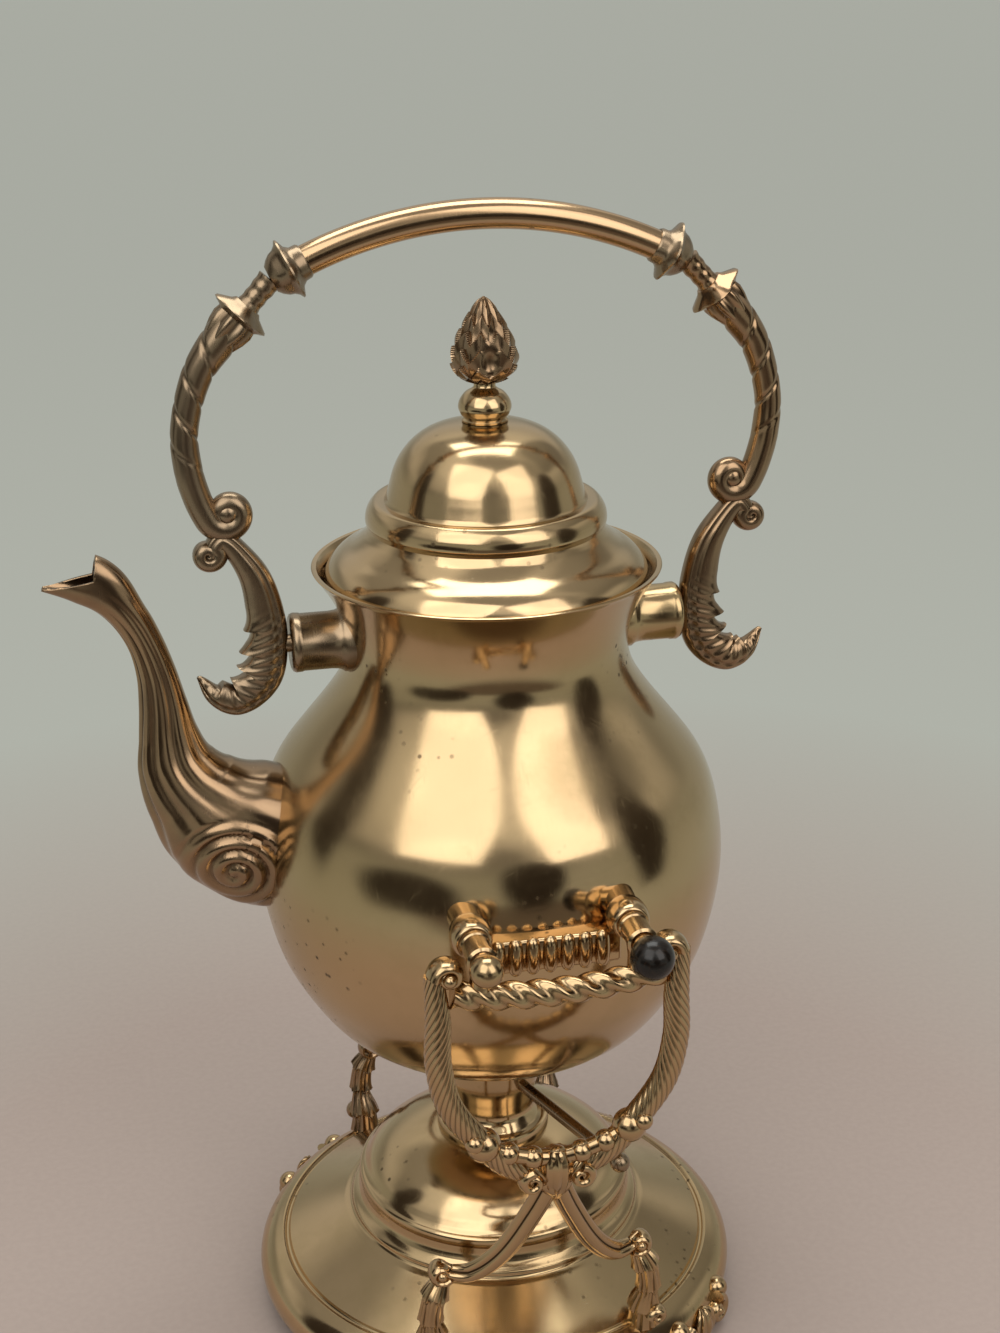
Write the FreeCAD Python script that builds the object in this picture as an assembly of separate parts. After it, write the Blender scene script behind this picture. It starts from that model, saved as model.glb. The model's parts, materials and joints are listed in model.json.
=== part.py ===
"""Tipping kettle on a stand, in millimetres.

+Z is up and Z = 0 is the table. The kettle's axis is the Z axis, the spout points to -X, and the two
side brackets stand at -Y (near) and +Y (far).
"""
import FreeCAD
import Part
import math
import os

V = FreeCAD.Vector
ORIGIN = V(0, 0, 0)
X_AXIS = V(1, 0, 0)
Y_AXIS = V(0, 1, 0)
Z_AXIS = V(0, 0, 1)
LOFT_DEGREE = 3

# Fits
RUNNING = 0.05
FACE_GAP = 0.4
LIFT_GAP = 0.3

# Sheet and wall thicknesses
POT_WALL = 1.2
LID_WALL = 1.0
SPOUT_WALL = 1.2
BASE_WALL = 1.4
BEZEL_WALL = 1.0
BURNER_WALL = 1.0
SEAT_WALL = 1.5

# Base: a stepped dome with a rounded rim, on four cast feet
RIM_R = 77.2
RIM_FOOT_Z = 5.0
RIM_Z = RIM_FOOT_Z + 5.6
GROOVE_R = RIM_R - 9.8
GROOVE_Z = RIM_Z + 8.3
STEP_R = GROOVE_R - 21.4
STEP_Z = GROOVE_Z + 10.5
DOME_R = STEP_R - 3.3
DOME_Z = STEP_Z + 11.1
DOME_TOP_Z = DOME_Z + 15.5
FOOT_ANGLE = 45.0
FOOT_WIDTH = 26.0
FOOT_DEPTH = 15.0
FOOT_OUT = 2.0
FOOT_TOP_Z = RIM_Z + 2.4
FOOT_SCROLL_R = 3.6

# Burner on the dome
SEAT_R = 18.0
SEAT_HEIGHT = 3.5
DOME_TOP_R = SEAT_R + 1.0
BURNER_FOOT_H = 3.0
BURNER_WAIST_H = 4.0
BURNER_R = 15.0
BURNER_WAIST_R = BURNER_R - 2.2
BURNER_TOP_Z = DOME_TOP_Z + 24.0
CAP_PLUG_H = 2.0
CAP_FLANGE_H = 1.2
WICK_TUBE_R = 4.0
WICK_TUBE_DROP = 9.0
WICK_TUBE_TOP_Z = BURNER_TOP_Z + 3.0
WICK_R = 2.8
WICK_TOP_Z = WICK_TUBE_TOP_Z + 2.0
BURNER_ROD_R = 1.9
BURNER_ROD_X = 27.0
BURNER_ROD_Y = 23.2 - RIM_R
BURNER_ROD_Z = BURNER_TOP_Z - 4.0
BURNER_ROD_DROP = 5.0

# Pot, hung above the flame
FLAME_GAP = 5.0
POT_R = 70.8
POT_BOTTOM_R = POT_R - 45.8
POT_BOTTOM_Z = WICK_TOP_Z + FLAME_GAP
POT_BELLY_Z = POT_BOTTOM_Z + 65.0
NECK_R = POT_R - 30.0
NECK_Z = POT_BELLY_Z + 67.0
MOUTH_R = NECK_R + 10.2
MOUTH_Z = NECK_Z + 24.3

# Spout, in the XZ plane
SPOUT_TIP_X = -POT_R - 55.0
SPOUT_TIP_Z = POT_BELLY_Z + 92.0
SPOUT_LIP_X = SPOUT_TIP_X + 14.8
SPOUT_LIP_Z = SPOUT_TIP_Z + 8.0
SPOUT_SQUEEZE = 0.82
STRAINER_HOLE_R = 2.6
STRAINER_RING_R = 8.5
STRAINER_HOLES = 6
STRAINER_Z = POT_BELLY_Z + 11.0
STRAINER_DRILL = 12.0

# Tilting gear: two pins on each side, the pivot at the spout side and the lock pin at the rear
PIN_X = 22.0
PIN_Z = POT_BELLY_Z + 10.0
PIN_R = 2.5
LUG_R = 5.6
LUG_OUT = POT_R + 6.7
LUG_SUNK = 8.0
PIN_IN = LUG_OUT - 7.0
BRACKET_Y = LUG_OUT + 6.5
SLEEVE_R = 4.3
SLEEVE_LENGTH = 11.0
PIVOT_KNOB_Y = BRACKET_Y + 10.0
PIVOT_KNOB_R = 4.6
LOCK_KNOB_Y = BRACKET_Y + 13.5
LOCK_KNOB_R = 6.0
FLUTES = 9
FLUTE_BAR_OUT = LUG_OUT - 2.5
FLUTE_BAR_TOP_Z = PIN_Z - 3.0
FLUTE_BAR_LOW_Z = PIN_Z - 13.0

# Side brackets
RAIL_Z = PIN_Z - 11.5
RAIL_R = 4.0
RAIL_SAG = 3.0
VOLUTE_X = PIN_X + 8.5
VOLUTE_Z = PIN_Z - 5.5
VOLUTE_R = 5.2
VOLUTE_WIDTH = 9.0
UPRIGHT_X = VOLUTE_X + 3.0
UPRIGHT_Z = PIN_Z - 33.0
UPRIGHT_R = 3.6
COLLAR_X = PIN_X - 1.0
COLLAR_Z = PIN_Z - 61.0
COLLAR_R = 5.0
CROSSBAR_Y = BRACKET_Y - 1.5
CROSSBAR_Z = COLLAR_Z - 7.0
BEAD_R = 3.3
BEADS = 5
JOINT_Y = BRACKET_Y - 4.5
JOINT_Z = CROSSBAR_Z - 9.0
JOINT_R = 5.6
LEG_R = 3.3
KNEE_X = PIN_X + 8.0
KNEE_Y = RIM_R - 13.7
KNEE_Z = DOME_Z + 8.5
KNEE_R = 4.6
SHOE_X = KNEE_X + 3.0
SHOE_Y = KNEE_Y - 2.5
SHOE_R = 5.0
SHOE_SUNK = 4.0
BRACKET_SCREW_R = 1.6
BRACKET_SCREW_HEAD_R = 3.2
SCREW_HEAD_H = 1.8
BRACKET_SCREW_GRIP = 9.0
BRACKET_SCREW_UNDER = BASE_WALL + 2.0

# Handle and its bosses, in the XZ plane
BOSS_SUNK = 4.0
BOSS_END_X = NECK_R + 17.6
BOSS_R = 8.4
BOSS_ROOT_R = 9.4
HANDLE_AXIS_Z = NECK_Z + 4.0
HANDLE_PIN_R = 2.6
HANDLE_PIN_IN_X = BOSS_END_X - 12.4
HANDLE_PIN_OUT_X = BOSS_END_X + 10.6
GRIP_R = 4.3
GRIP_TOP_Z = HANDLE_AXIS_Z + 119.8
GRIP_END_X = BOSS_END_X - 4.4
GRIP_END_Z = GRIP_TOP_Z - 12.8
FERRULE_R = 7.6
FERRULE_LENGTH = 11.0
COLLAR_LOW_X = GRIP_END_X + 13.5
COLLAR_LOW_Z = GRIP_END_Z - 11.5
COLLAR_LOW_R = 7.8
ARM_R = 4.0
ARM_OUT_X = COLLAR_LOW_X + 17.1
ARM_OUT_Z = COLLAR_LOW_Z - 30.5
SCROLL_X = ARM_OUT_X - 10.6
SCROLL_Z = HANDLE_AXIS_Z + 40.3
SCROLL_R = 5.2
CURL_X = SCROLL_X + 6.3
CURL_Z = SCROLL_Z - 11.9
CURL_R = 4.6
SCROLL_WIDTH = 10.5
LEAF_IN_X = BOSS_END_X + 0.5
LEAF_THICKNESS = 8.5

# Lid, standing inside the flare of the mouth
LID_R = MOUTH_R - 4.0
LID_EDGE_Z = MOUTH_Z - 2.5
RING_R = LID_R - 12.4
RING_Z = LID_EDGE_Z + 14.8
RING_TOP_R = RING_R - 1.8
RING_TOP_Z = RING_Z + 6.8
DOME_FOOT_R = RING_TOP_R - 3.9
LID_TOP_Z = RING_TOP_Z + 22.6
BEZEL_R = LID_R - 4.4
BEZEL_LOW_Z = LID_EDGE_Z - 5.3
KNOB_COLLAR_R = 6.6
KNOB_R = 7.5
KNOB_Z = LID_TOP_Z + 3.8
KNOB_NECK_R = 3.1
KNOB_NECK_Z = KNOB_Z + 5.8
KNOB_TOP_Z = KNOB_NECK_Z + 1.2
BUD_R = 9.4
BUD_Z = KNOB_TOP_Z + 7.7
BUD_TIP_Z = BUD_Z + 16.7
STUD_R = 2.0
NUT_R = 4.5
NUT_H = 3.0
STUD_LOW_Z = LID_TOP_Z - LID_WALL - NUT_H - 1.0

# Lid hinge at the far side of the mouth
HINGE_Y = MOUTH_R + 3.2
HINGE_Z = MOUTH_Z + 3.1
HINGE_R = 2.3
HINGE_PIN_R = 1.1
HINGE_LENGTH = 17.0
HINGE_MIDDLE = 6.5
HINGE_DROP = 13.0
HINGE_WEB_H = 6.0
STRAP_WALL = 1.0
STRAP_REACH = 9.0


def curve(spots):
    """A smooth edge through the spots, or a straight one where there are only two."""
    if len(spots) == 2:
        return Part.makeLine(spots[0], spots[1])
    line = Part.BSplineCurve()
    line.interpolate(spots)
    return line.toShape()


def turned(*runs):
    """A solid of revolution about Z from runs of (radius, height) that meet end to end."""
    edges = [curve([V(r, 0, z) for r, z in run]) for run in runs]
    return Part.Face(Part.Wire(edges)).revolve(ORIGIN, Z_AXIS, 360)


def inset(profile, wall):
    """The profile moved by the wall towards its left, seen along its run."""
    last = len(profile) - 1
    moved = []
    for i, (r, z) in enumerate(profile):
        ahead = profile[min(i + 1, last)]
        behind = profile[max(i - 1, 0)]
        dr = ahead[0] - behind[0]
        dz = ahead[1] - behind[1]
        span = math.hypot(dr, dz)
        moved.append((r - wall * dz / span, z + wall * dr / span))
    return moved


def rod(start, end, radius):
    """A round bar between two spots."""
    way = end - start
    return Part.makeCylinder(radius, way.Length, start, way)


def limb(spots, radii, side, squeeze=1.0):
    """A tapering bar through the spots. Squeeze scales its width along the side direction."""
    last = len(spots) - 1
    wires = []
    for i, spot in enumerate(spots):
        way = spots[min(i + 1, last)] - spots[max(i - 1, 0)]
        across = side.cross(way)
        turn = FreeCAD.Rotation(across, side, way, "ZXY")
        if squeeze == 1.0:
            ring = Part.Circle(ORIGIN, Z_AXIS, radii[i])
        else:
            ring = Part.Ellipse(ORIGIN, radii[i], radii[i] * squeeze)
        wire = Part.Wire(ring.toShape())
        wire.Placement = FreeCAD.Placement(spot, turn)
        wires.append(wire)
    return Part.makeLoft(wires, True, False, False, LOFT_DEGREE)


def joined(shapes):
    """One solid from overlapping shapes."""
    whole = shapes[0].fuse(shapes[1:]).removeSplitter()
    return whole.Solids[0] if len(whole.Solids) == 1 else whole


def mirrored(shape, normal):
    return shape.mirror(ORIGIN, normal)


def save(node, shape):
    """Write one node, after a look at whether it is sound."""
    if not shape.isValid() or shape.Volume <= 0:
        raise ValueError("%s is not a sound solid" % node)
    path = "parts/%s.step" % node
    shape.exportStep(path)
    if not Part.read(path).isValid():
        raise ValueError("%s is not sound in its file" % node)
    print("%-24s %2d solids %10.1f mm3" % (node, len(shape.Solids), shape.Volume))


def base_profile():
    """The base's outer side, from the rim's foot up to the flat on top of the dome."""
    rim = [
        (RIM_R - 2.2, RIM_FOOT_Z),
        (RIM_R, RIM_Z - 1.0),
        (RIM_R - 1.6, RIM_Z + 3.6),
        (GROOVE_R + 2.0, GROOVE_Z - 0.2),
    ]
    tread = [
        rim[-1],
        (GROOVE_R, GROOVE_Z),
        (0.5 * (GROOVE_R + STEP_R), 0.5 * (GROOVE_Z + STEP_Z) + 0.4),
        (STEP_R + 1.5, STEP_Z - 0.4),
    ]
    riser = [
        tread[-1],
        (STEP_R - 1.6, STEP_Z + 2.4),
        (DOME_R - 0.4, DOME_Z - 3.2),
        (DOME_R + 0.6, DOME_Z),
    ]
    rise = DOME_TOP_Z - DOME_Z
    dome = [
        riser[-1],
        (DOME_R - 2.4, DOME_Z + 0.28 * rise),
        (DOME_R - 9.0, DOME_Z + 0.62 * rise),
        (DOME_TOP_R, DOME_TOP_Z),
    ]
    return [rim, tread, riser, dome]


def base_shell():
    outer = base_profile()
    inner = [inset(run, BASE_WALL) for run in outer]
    for i in range(len(inner) - 1):
        meet = (
            0.5 * (inner[i][-1][0] + inner[i + 1][0][0]),
            0.5 * (inner[i][-1][1] + inner[i + 1][0][1]),
        )
        inner[i][-1] = meet
        inner[i + 1][0] = meet
    inner[-1][-1] = (DOME_TOP_R, DOME_TOP_Z - BASE_WALL)
    back = [list(reversed(run)) for run in reversed(inner)]
    top = [(DOME_TOP_R, DOME_TOP_Z), (0, DOME_TOP_Z)]
    axis = [(0, DOME_TOP_Z), (0, DOME_TOP_Z - BASE_WALL)]
    under = [(0, DOME_TOP_Z - BASE_WALL), (DOME_TOP_R, DOME_TOP_Z - BASE_WALL)]
    lip = [back[-1][-1], outer[0][0]]
    return turned(*outer, top, axis, under, *back, lip)


def base_solid():
    """Everything under the base's outer side, for fitting what stands on it."""
    outer = base_profile()
    top = [(DOME_TOP_R, DOME_TOP_Z), (0, DOME_TOP_Z)]
    axis = [(0, DOME_TOP_Z), (0, RIM_FOOT_Z)]
    floor = [(0, RIM_FOOT_Z), outer[0][0]]
    return turned(*outer, top, axis, floor)


def foot_places():
    """The feet's names and angles about Z, from the spout side round."""
    return [
        ("foot_spout_near", 180 + FOOT_ANGLE),
        ("foot_rear_near", -FOOT_ANGLE),
        ("foot_rear_far", FOOT_ANGLE),
        ("foot_spout_far", 180 - FOOT_ANGLE),
    ]


def foot(standing):
    """A cast foot at angle 0: a rounded pad under the rim with a scroll at each side."""
    corner = V(RIM_R + FOOT_OUT - FOOT_DEPTH, -0.5 * FOOT_WIDTH, 0)
    pad = Part.makeBox(FOOT_DEPTH, FOOT_WIDTH, FOOT_TOP_Z, corner)
    upright = [edge for edge in pad.Edges if abs(edge.tangentAt(edge.FirstParameter).z) > 0.9]
    pad = pad.makeFillet(0.4 * FOOT_DEPTH, upright)
    parts = [pad]
    for side in (-1, 1):
        spot = V(RIM_R - 0.5 * FOOT_SCROLL_R, side * 0.5 * FOOT_WIDTH, FOOT_TOP_Z - 0.4 * FOOT_SCROLL_R)
        parts.append(Part.makeSphere(FOOT_SCROLL_R, spot))
    return joined(parts).cut(standing)


def top_height(solid, x, y):
    """Height of the top of a solid at a place in plan."""
    probe = Part.makeLine(V(x, y, -1), V(x, y, MOUTH_Z)).common(solid)
    return probe.BoundBox.ZMax


def burner_seat():
    spot = V(0, 0, DOME_TOP_Z)
    ring = Part.makeCylinder(SEAT_R, SEAT_HEIGHT, spot)
    return ring.cut(Part.makeCylinder(SEAT_R - SEAT_WALL, SEAT_HEIGHT, spot))


def burner_outline():
    """Radius of the burner's foot, height of the foot's top, and the side above it."""
    foot_r = SEAT_R - SEAT_WALL - LIFT_GAP
    foot_top = DOME_TOP_Z + BURNER_FOOT_H
    side = [
        (foot_r, foot_top),
        (BURNER_WAIST_R, foot_top + BURNER_WAIST_H),
        (BURNER_R - 0.6, 0.5 * (foot_top + BURNER_TOP_Z) + 2.0),
        (BURNER_R, BURNER_TOP_Z - 4.0),
        (BURNER_R, BURNER_TOP_Z),
    ]
    return foot_r, foot_top, side


def burner_bowl():
    foot_r, foot_top, side = burner_outline()
    floor_z = foot_top + BURNER_WALL
    inside = [(r - BURNER_WALL, z) for r, z in side[1:]]
    return turned(
        [(0, DOME_TOP_Z), (foot_r, DOME_TOP_Z)],
        [(foot_r, DOME_TOP_Z), (foot_r, foot_top)],
        side,
        [side[-1], inside[-1]],
        list(reversed(inside)),
        [inside[0], (0, floor_z)],
        [(0, floor_z), (0, DOME_TOP_Z)],
    )


def burner_cap():
    """The lid of the bowl, with the wick's tube through its middle."""
    plug = Part.makeCylinder(BURNER_R - BURNER_WALL, CAP_PLUG_H, V(0, 0, BURNER_TOP_Z - CAP_PLUG_H))
    flange = Part.makeCylinder(BURNER_R, CAP_FLANGE_H, V(0, 0, BURNER_TOP_Z))
    low = V(0, 0, BURNER_TOP_Z - WICK_TUBE_DROP)
    high = V(0, 0, WICK_TUBE_TOP_Z)
    return joined([plug, flange, rod(low, high, WICK_TUBE_R)]).cut(rod(low, high, WICK_R))


def wick():
    low = DOME_TOP_Z + BURNER_FOOT_H + BURNER_WAIST_H
    return rod(V(0, 0, low), V(0, 0, WICK_TOP_Z), WICK_R)


def burner_handle(bowl):
    """A straight rod out of the bowl's side, with a small ball at its end."""
    way = V(BURNER_ROD_X, BURNER_ROD_Y, 0)
    start = way * ((BURNER_R - 0.5 * BURNER_WALL) / way.Length) + V(0, 0, BURNER_ROD_Z)
    end = way + V(0, 0, BURNER_ROD_Z - BURNER_ROD_DROP)
    ball = Part.makeSphere(1.6 * BURNER_ROD_R, end)
    pieces = joined([rod(start, end, BURNER_ROD_R), ball]).cut(bowl).Solids
    return max(pieces, key=lambda piece: piece.Volume)


def pot_profile():
    """The pot's outer side from the edge of its flat bottom up to the mouth."""
    return [
        (POT_BOTTOM_R, POT_BOTTOM_Z),
        (POT_BOTTOM_R + 13.5, POT_BOTTOM_Z + 4.6),
        (POT_R - 19.0, POT_BOTTOM_Z + 14.0),
        (POT_R - 11.5, POT_BELLY_Z - 40.0),
        (POT_R - 4.9, POT_BELLY_Z - 27.5),
        (POT_R, POT_BELLY_Z),
        (POT_R - 4.4, POT_BELLY_Z + 26.5),
        (POT_R - 12.4, POT_BELLY_Z + 38.0),
        (NECK_R + 8.4, NECK_Z - 17.5),
        (NECK_R + 1.0, NECK_Z - 6.0),
        (NECK_R, NECK_Z + 2.0),
        (NECK_R + 2.6, MOUTH_Z - 12.5),
        (MOUTH_R - 3.4, MOUTH_Z - 4.4),
        (MOUTH_R, MOUTH_Z),
    ]


def pot_solid():
    """The whole pot as if it were filled to its outer side."""
    outer = pot_profile()
    return turned(
        [(0, POT_BOTTOM_Z), outer[0]],
        outer,
        [outer[-1], (0, MOUTH_Z)],
        [(0, MOUTH_Z), (0, POT_BOTTOM_Z)],
    )


def pot_body():
    outer = pot_profile()
    inner = inset(outer, POT_WALL)
    floor_z = POT_BOTTOM_Z + POT_WALL
    inner[0] = (POT_BOTTOM_R - 0.3 * POT_WALL, floor_z)
    inner[-1] = (MOUTH_R - POT_WALL, MOUTH_Z)
    shell = turned(
        [(0, POT_BOTTOM_Z), outer[0]],
        outer,
        [outer[-1], inner[-1]],
        list(reversed(inner)),
        [inner[0], (0, floor_z)],
        [(0, floor_z), (0, POT_BOTTOM_Z)],
    )
    start = V(-POT_R - 2.0, 0, STRAINER_Z)
    holes = [Part.makeCylinder(STRAINER_HOLE_R, STRAINER_DRILL, start, X_AXIS)]
    for i in range(STRAINER_HOLES):
        turn = 2 * math.pi * i / STRAINER_HOLES
        spot = start + V(0, STRAINER_RING_R * math.cos(turn), STRAINER_RING_R * math.sin(turn))
        holes.append(Part.makeCylinder(STRAINER_HOLE_R, STRAINER_DRILL, spot, X_AXIS))
    return shell.cut(holes)


def spout_line():
    """Centres and radii of the spout's sections, from inside the pot to the mouth."""
    from_belly = [
        (14.8, 8.0, 20.5),
        (1.8, 11.5, 22.0),
        (-9.7, 18.5, 20.2),
        (-18.2, 28.5, 14.8),
        (-22.2, 37.0, 11.4),
        (-23.8, 46.0, 8.6),
        (-24.8, 55.5, 6.9),
        (-26.1, 65.5, 5.6),
        (-28.6, 75.0, 5.0),
        (-32.8, 83.6, 5.3),
        (-38.8, 90.2, 5.6),
        (-46.0, 93.8, 5.3),
    ]
    line = [(x - POT_R, z + POT_BELLY_Z, r) for x, z, r in from_belly]
    return line + [(SPOUT_TIP_X + 1.6, SPOUT_TIP_Z + 3.0, 3.6)]


def spout_limb(shrink, past):
    """The spout's sections made smaller by shrink, with its two ends pushed past their places."""
    line = spout_line()
    spots = [V(x, 0, z) for x, z, _ in line]
    for end, beside in ((0, 1), (-1, -2)):
        way = spots[end] - spots[beside]
        spots[end] = spots[end] + way * (past / way.Length)
    radii = [r - shrink for _, _, r in line]
    return limb(spots, radii, Y_AXIS, SPOUT_SQUEEZE)


def spout(pot):
    """A hollow swan neck that meets the pot's side, with a slanted pouring lip."""
    outside = spout_limb(0.0, 0.0).cut(pot)
    hollow = outside.cut(spout_limb(SPOUT_WALL, 1.25 * SPOUT_WALL))
    slope = math.degrees(math.atan2(SPOUT_LIP_Z - SPOUT_TIP_Z, SPOUT_LIP_X - SPOUT_TIP_X))
    size = POT_R
    knife = Part.makeBox(size, size, size, V(-0.5 * size, -0.5 * size, 0))
    knife.rotate(ORIGIN, Y_AXIS, -slope)
    knife.translate(V(0.5 * (SPOUT_TIP_X + SPOUT_LIP_X), 0, 0.5 * (SPOUT_TIP_Z + SPOUT_LIP_Z)))
    return hollow.cut(knife).Solids[0]


def handle_boss(pot):
    """The rear boss on the neck, bored for the handle's pin."""
    root = V(NECK_R - BOSS_SUNK, 0, HANDLE_AXIS_Z)
    body = Part.makeCone(BOSS_ROOT_R, BOSS_R, BOSS_END_X - root.x, root, X_AXIS)
    low = V(HANDLE_PIN_IN_X - FACE_GAP, 0, HANDLE_AXIS_Z)
    bore = rod(low, V(BOSS_END_X, 0, HANDLE_AXIS_Z), HANDLE_PIN_R + RUNNING)
    return body.cut([pot, bore])


def handle_pin():
    return rod(V(HANDLE_PIN_IN_X, 0, HANDLE_AXIS_Z), V(HANDLE_PIN_OUT_X, 0, HANDLE_AXIS_Z), HANDLE_PIN_R)


def grip_arc():
    return Part.Arc(V(-GRIP_END_X, 0, GRIP_END_Z), V(0, 0, GRIP_TOP_Z), V(GRIP_END_X, 0, GRIP_END_Z))


def handle_grip():
    path = Part.Wire(grip_arc().toShape())
    way = path.Edges[0].tangentAt(path.Edges[0].FirstParameter)
    ring = Part.Wire(Part.Circle(V(-GRIP_END_X, 0, GRIP_END_Z), way, GRIP_R).toShape())
    return path.makePipeShell([ring], True, True)


def arm_way():
    """Direction of the grip's end, outward and down at the rear side."""
    edge = grip_arc().toShape()
    return edge.tangentAt(edge.LastParameter)


def along(solid, spot, way):
    """Move a solid turned about Z so that its axis runs through the spot along the way."""
    solid.Placement = FreeCAD.Placement(spot, FreeCAD.Rotation(Z_AXIS, way))
    return solid


def grip_ferrule(grip):
    """The pointed collar at the rear end of the grip."""
    half = 0.5 * FERRULE_LENGTH
    mouth_r = GRIP_R + 0.4
    body = turned(
        [(0, -half), (mouth_r, -half)],
        [(mouth_r, -half), (FERRULE_R, -0.25 * half)],
        [(FERRULE_R, -0.25 * half), (0.75 * FERRULE_R, 0.15 * half)],
        [(0.75 * FERRULE_R, 0.15 * half), (0.9 * FERRULE_R, 0.6 * half)],
        [(0.9 * FERRULE_R, 0.6 * half), (GRIP_R, half)],
        [(GRIP_R, half), (0, half)],
        [(0, half), (0, -half)],
    )
    return along(body, V(GRIP_END_X, 0, GRIP_END_Z), arm_way()).cut(grip)


def ferrule_end():
    return V(GRIP_END_X, 0, GRIP_END_Z) + arm_way() * (0.5 * FERRULE_LENGTH)


def leaf_plate():
    """The C-shaped leaf of the rear arm, cut from a plate and standing across the pivot's axis."""
    reach = CURL_X - LEAF_IN_X
    outer = [
        V(SCROLL_X + 0.3 * SCROLL_R, 0, SCROLL_Z - 0.6 * SCROLL_R),
        V(SCROLL_X - 3.2, 0, SCROLL_Z - 1.9 * SCROLL_R),
        V(LEAF_IN_X + 0.28 * reach, 0, CURL_Z - 6.5),
        V(LEAF_IN_X + 0.04 * reach, 0, HANDLE_AXIS_Z + 10.5),
        V(LEAF_IN_X, 0, HANDLE_AXIS_Z),
        V(LEAF_IN_X + 0.10 * reach, 0, HANDLE_AXIS_Z - 12.0),
        V(LEAF_IN_X + 0.62 * reach, 0, HANDLE_AXIS_Z - 21.2),
        V(CURL_X + 1.2, 0, HANDLE_AXIS_Z - 16.0),
        V(CURL_X + 5.2, 0, HANDLE_AXIS_Z - 7.8),
    ]
    inner = [
        outer[-1],
        V(CURL_X - 2.0, 0, HANDLE_AXIS_Z - 10.8),
        V(LEAF_IN_X + 0.68 * reach, 0, HANDLE_AXIS_Z - 7.0),
        V(LEAF_IN_X + 0.55 * reach, 0, HANDLE_AXIS_Z + 1.0),
        V(LEAF_IN_X + 0.58 * reach, 0, HANDLE_AXIS_Z + 13.0),
        V(CURL_X - 6.5, 0, CURL_Z - 5.0),
        V(CURL_X - 0.2 * CURL_R, 0, CURL_Z - 0.4 * CURL_R),
        V(CURL_X + 0.4 * CURL_R, 0, CURL_Z + 0.7 * CURL_R),
    ]
    back = [inner[-1], outer[0]]
    face = Part.Face(Part.Wire([curve(outer), curve(inner), curve(back)]))
    plate = face.extrude(Y_AXIS * LEAF_THICKNESS)
    plate.translate(V(0, -0.5 * LEAF_THICKNESS, 0))
    return plate


def handle_arm(ferrule):
    """The rear arm: shaft, lower collar, bowed arm, two scrolls and the leaf with the pin's hole."""
    collar = V(COLLAR_LOW_X, 0, COLLAR_LOW_Z)
    shaft = rod(ferrule_end() - arm_way() * LIFT_GAP, collar, 0.85 * ARM_R)
    spots = [
        collar,
        V(0.48 * (COLLAR_LOW_X + ARM_OUT_X), 0, COLLAR_LOW_Z - 7.5),
        V(0.5 * (COLLAR_LOW_X + ARM_OUT_X) + 4.6, 0, 0.5 * (COLLAR_LOW_Z + ARM_OUT_Z) + 1.0),
        V(ARM_OUT_X, 0, ARM_OUT_Z),
        V(ARM_OUT_X - 1.0, 0, ARM_OUT_Z - 13.0),
        V(SCROLL_X + SCROLL_R, 0, SCROLL_Z - 0.2),
        V(SCROLL_X + 0.4 * SCROLL_R, 0, SCROLL_Z - 0.8 * SCROLL_R),
    ]
    radii = [COLLAR_LOW_R, 1.3 * ARM_R, 1.05 * ARM_R, 0.9 * ARM_R, ARM_R, ARM_R, 0.7 * ARM_R]
    arm = limb(spots, radii, Y_AXIS)
    half = 0.5 * SCROLL_WIDTH
    scroll = Part.makeCylinder(SCROLL_R, SCROLL_WIDTH, V(SCROLL_X, -half, SCROLL_Z), Y_AXIS)
    curl = Part.makeCylinder(CURL_R, SCROLL_WIDTH, V(CURL_X, -half, CURL_Z), Y_AXIS)
    return joined([shaft, arm, scroll, curl, leaf_plate()]).cut([handle_pin(), ferrule])


def near_lug(pot):
    """The near side's lug bar on the pot: an eye for the pivot pin and an open hook over the lock pin."""
    deep = LUG_OUT - POT_R + LUG_SUNK
    eye = Part.makeCylinder(LUG_R, deep, V(-PIN_X, -LUG_OUT, PIN_Z), Y_AXIS)
    hook = Part.makeCylinder(LUG_R, deep, V(PIN_X, -LUG_OUT, PIN_Z), Y_AXIS)
    height = FLUTE_BAR_TOP_Z - FLUTE_BAR_LOW_Z
    half = PIN_X - 0.3 * LUG_R
    thick = FLUTE_BAR_OUT - POT_R + LUG_SUNK
    bar = Part.makeBox(2 * half, thick, height, V(-half, -FLUTE_BAR_OUT, FLUTE_BAR_LOW_Z))
    pitch = 2 * (half - LUG_R) / FLUTES
    flutes = []
    for i in range(FLUTES):
        x = (i - 0.5 * (FLUTES - 1)) * pitch
        flutes.append(Part.makeCylinder(0.48 * pitch, height, V(x, -FLUTE_BAR_OUT, FLUTE_BAR_LOW_Z)))
    slot_r = PIN_R + LIFT_GAP
    pivot = V(-PIN_X, -LUG_OUT, PIN_Z)
    track = Part.makeCylinder(2 * PIN_X + slot_r, deep, pivot, Y_AXIS)
    track = track.cut(Part.makeCylinder(2 * PIN_X - slot_r, deep, pivot, Y_AXIS))
    drop = 4 * LUG_R
    slot = track.common(Part.makeBox(PIN_X, deep, drop, V(0.5 * PIN_X, -LUG_OUT, PIN_Z - drop)))
    saddle = Part.makeCylinder(slot_r, deep, V(PIN_X, -LUG_OUT, PIN_Z), Y_AXIS)
    bore = Part.makeCylinder(PIN_R + RUNNING, deep, pivot, Y_AXIS)
    return joined([eye, hook, bar] + flutes).cut([slot, saddle, bore, pot])


def near_pivot_pin():
    """The near pivot pin with its brass knob."""
    shank = rod(V(-PIN_X, -PIN_IN, PIN_Z), V(-PIN_X, -PIVOT_KNOB_Y, PIN_Z), PIN_R)
    knob = Part.makeSphere(PIVOT_KNOB_R, V(-PIN_X, -PIVOT_KNOB_Y, PIN_Z))
    return joined([shank, knob])


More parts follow.
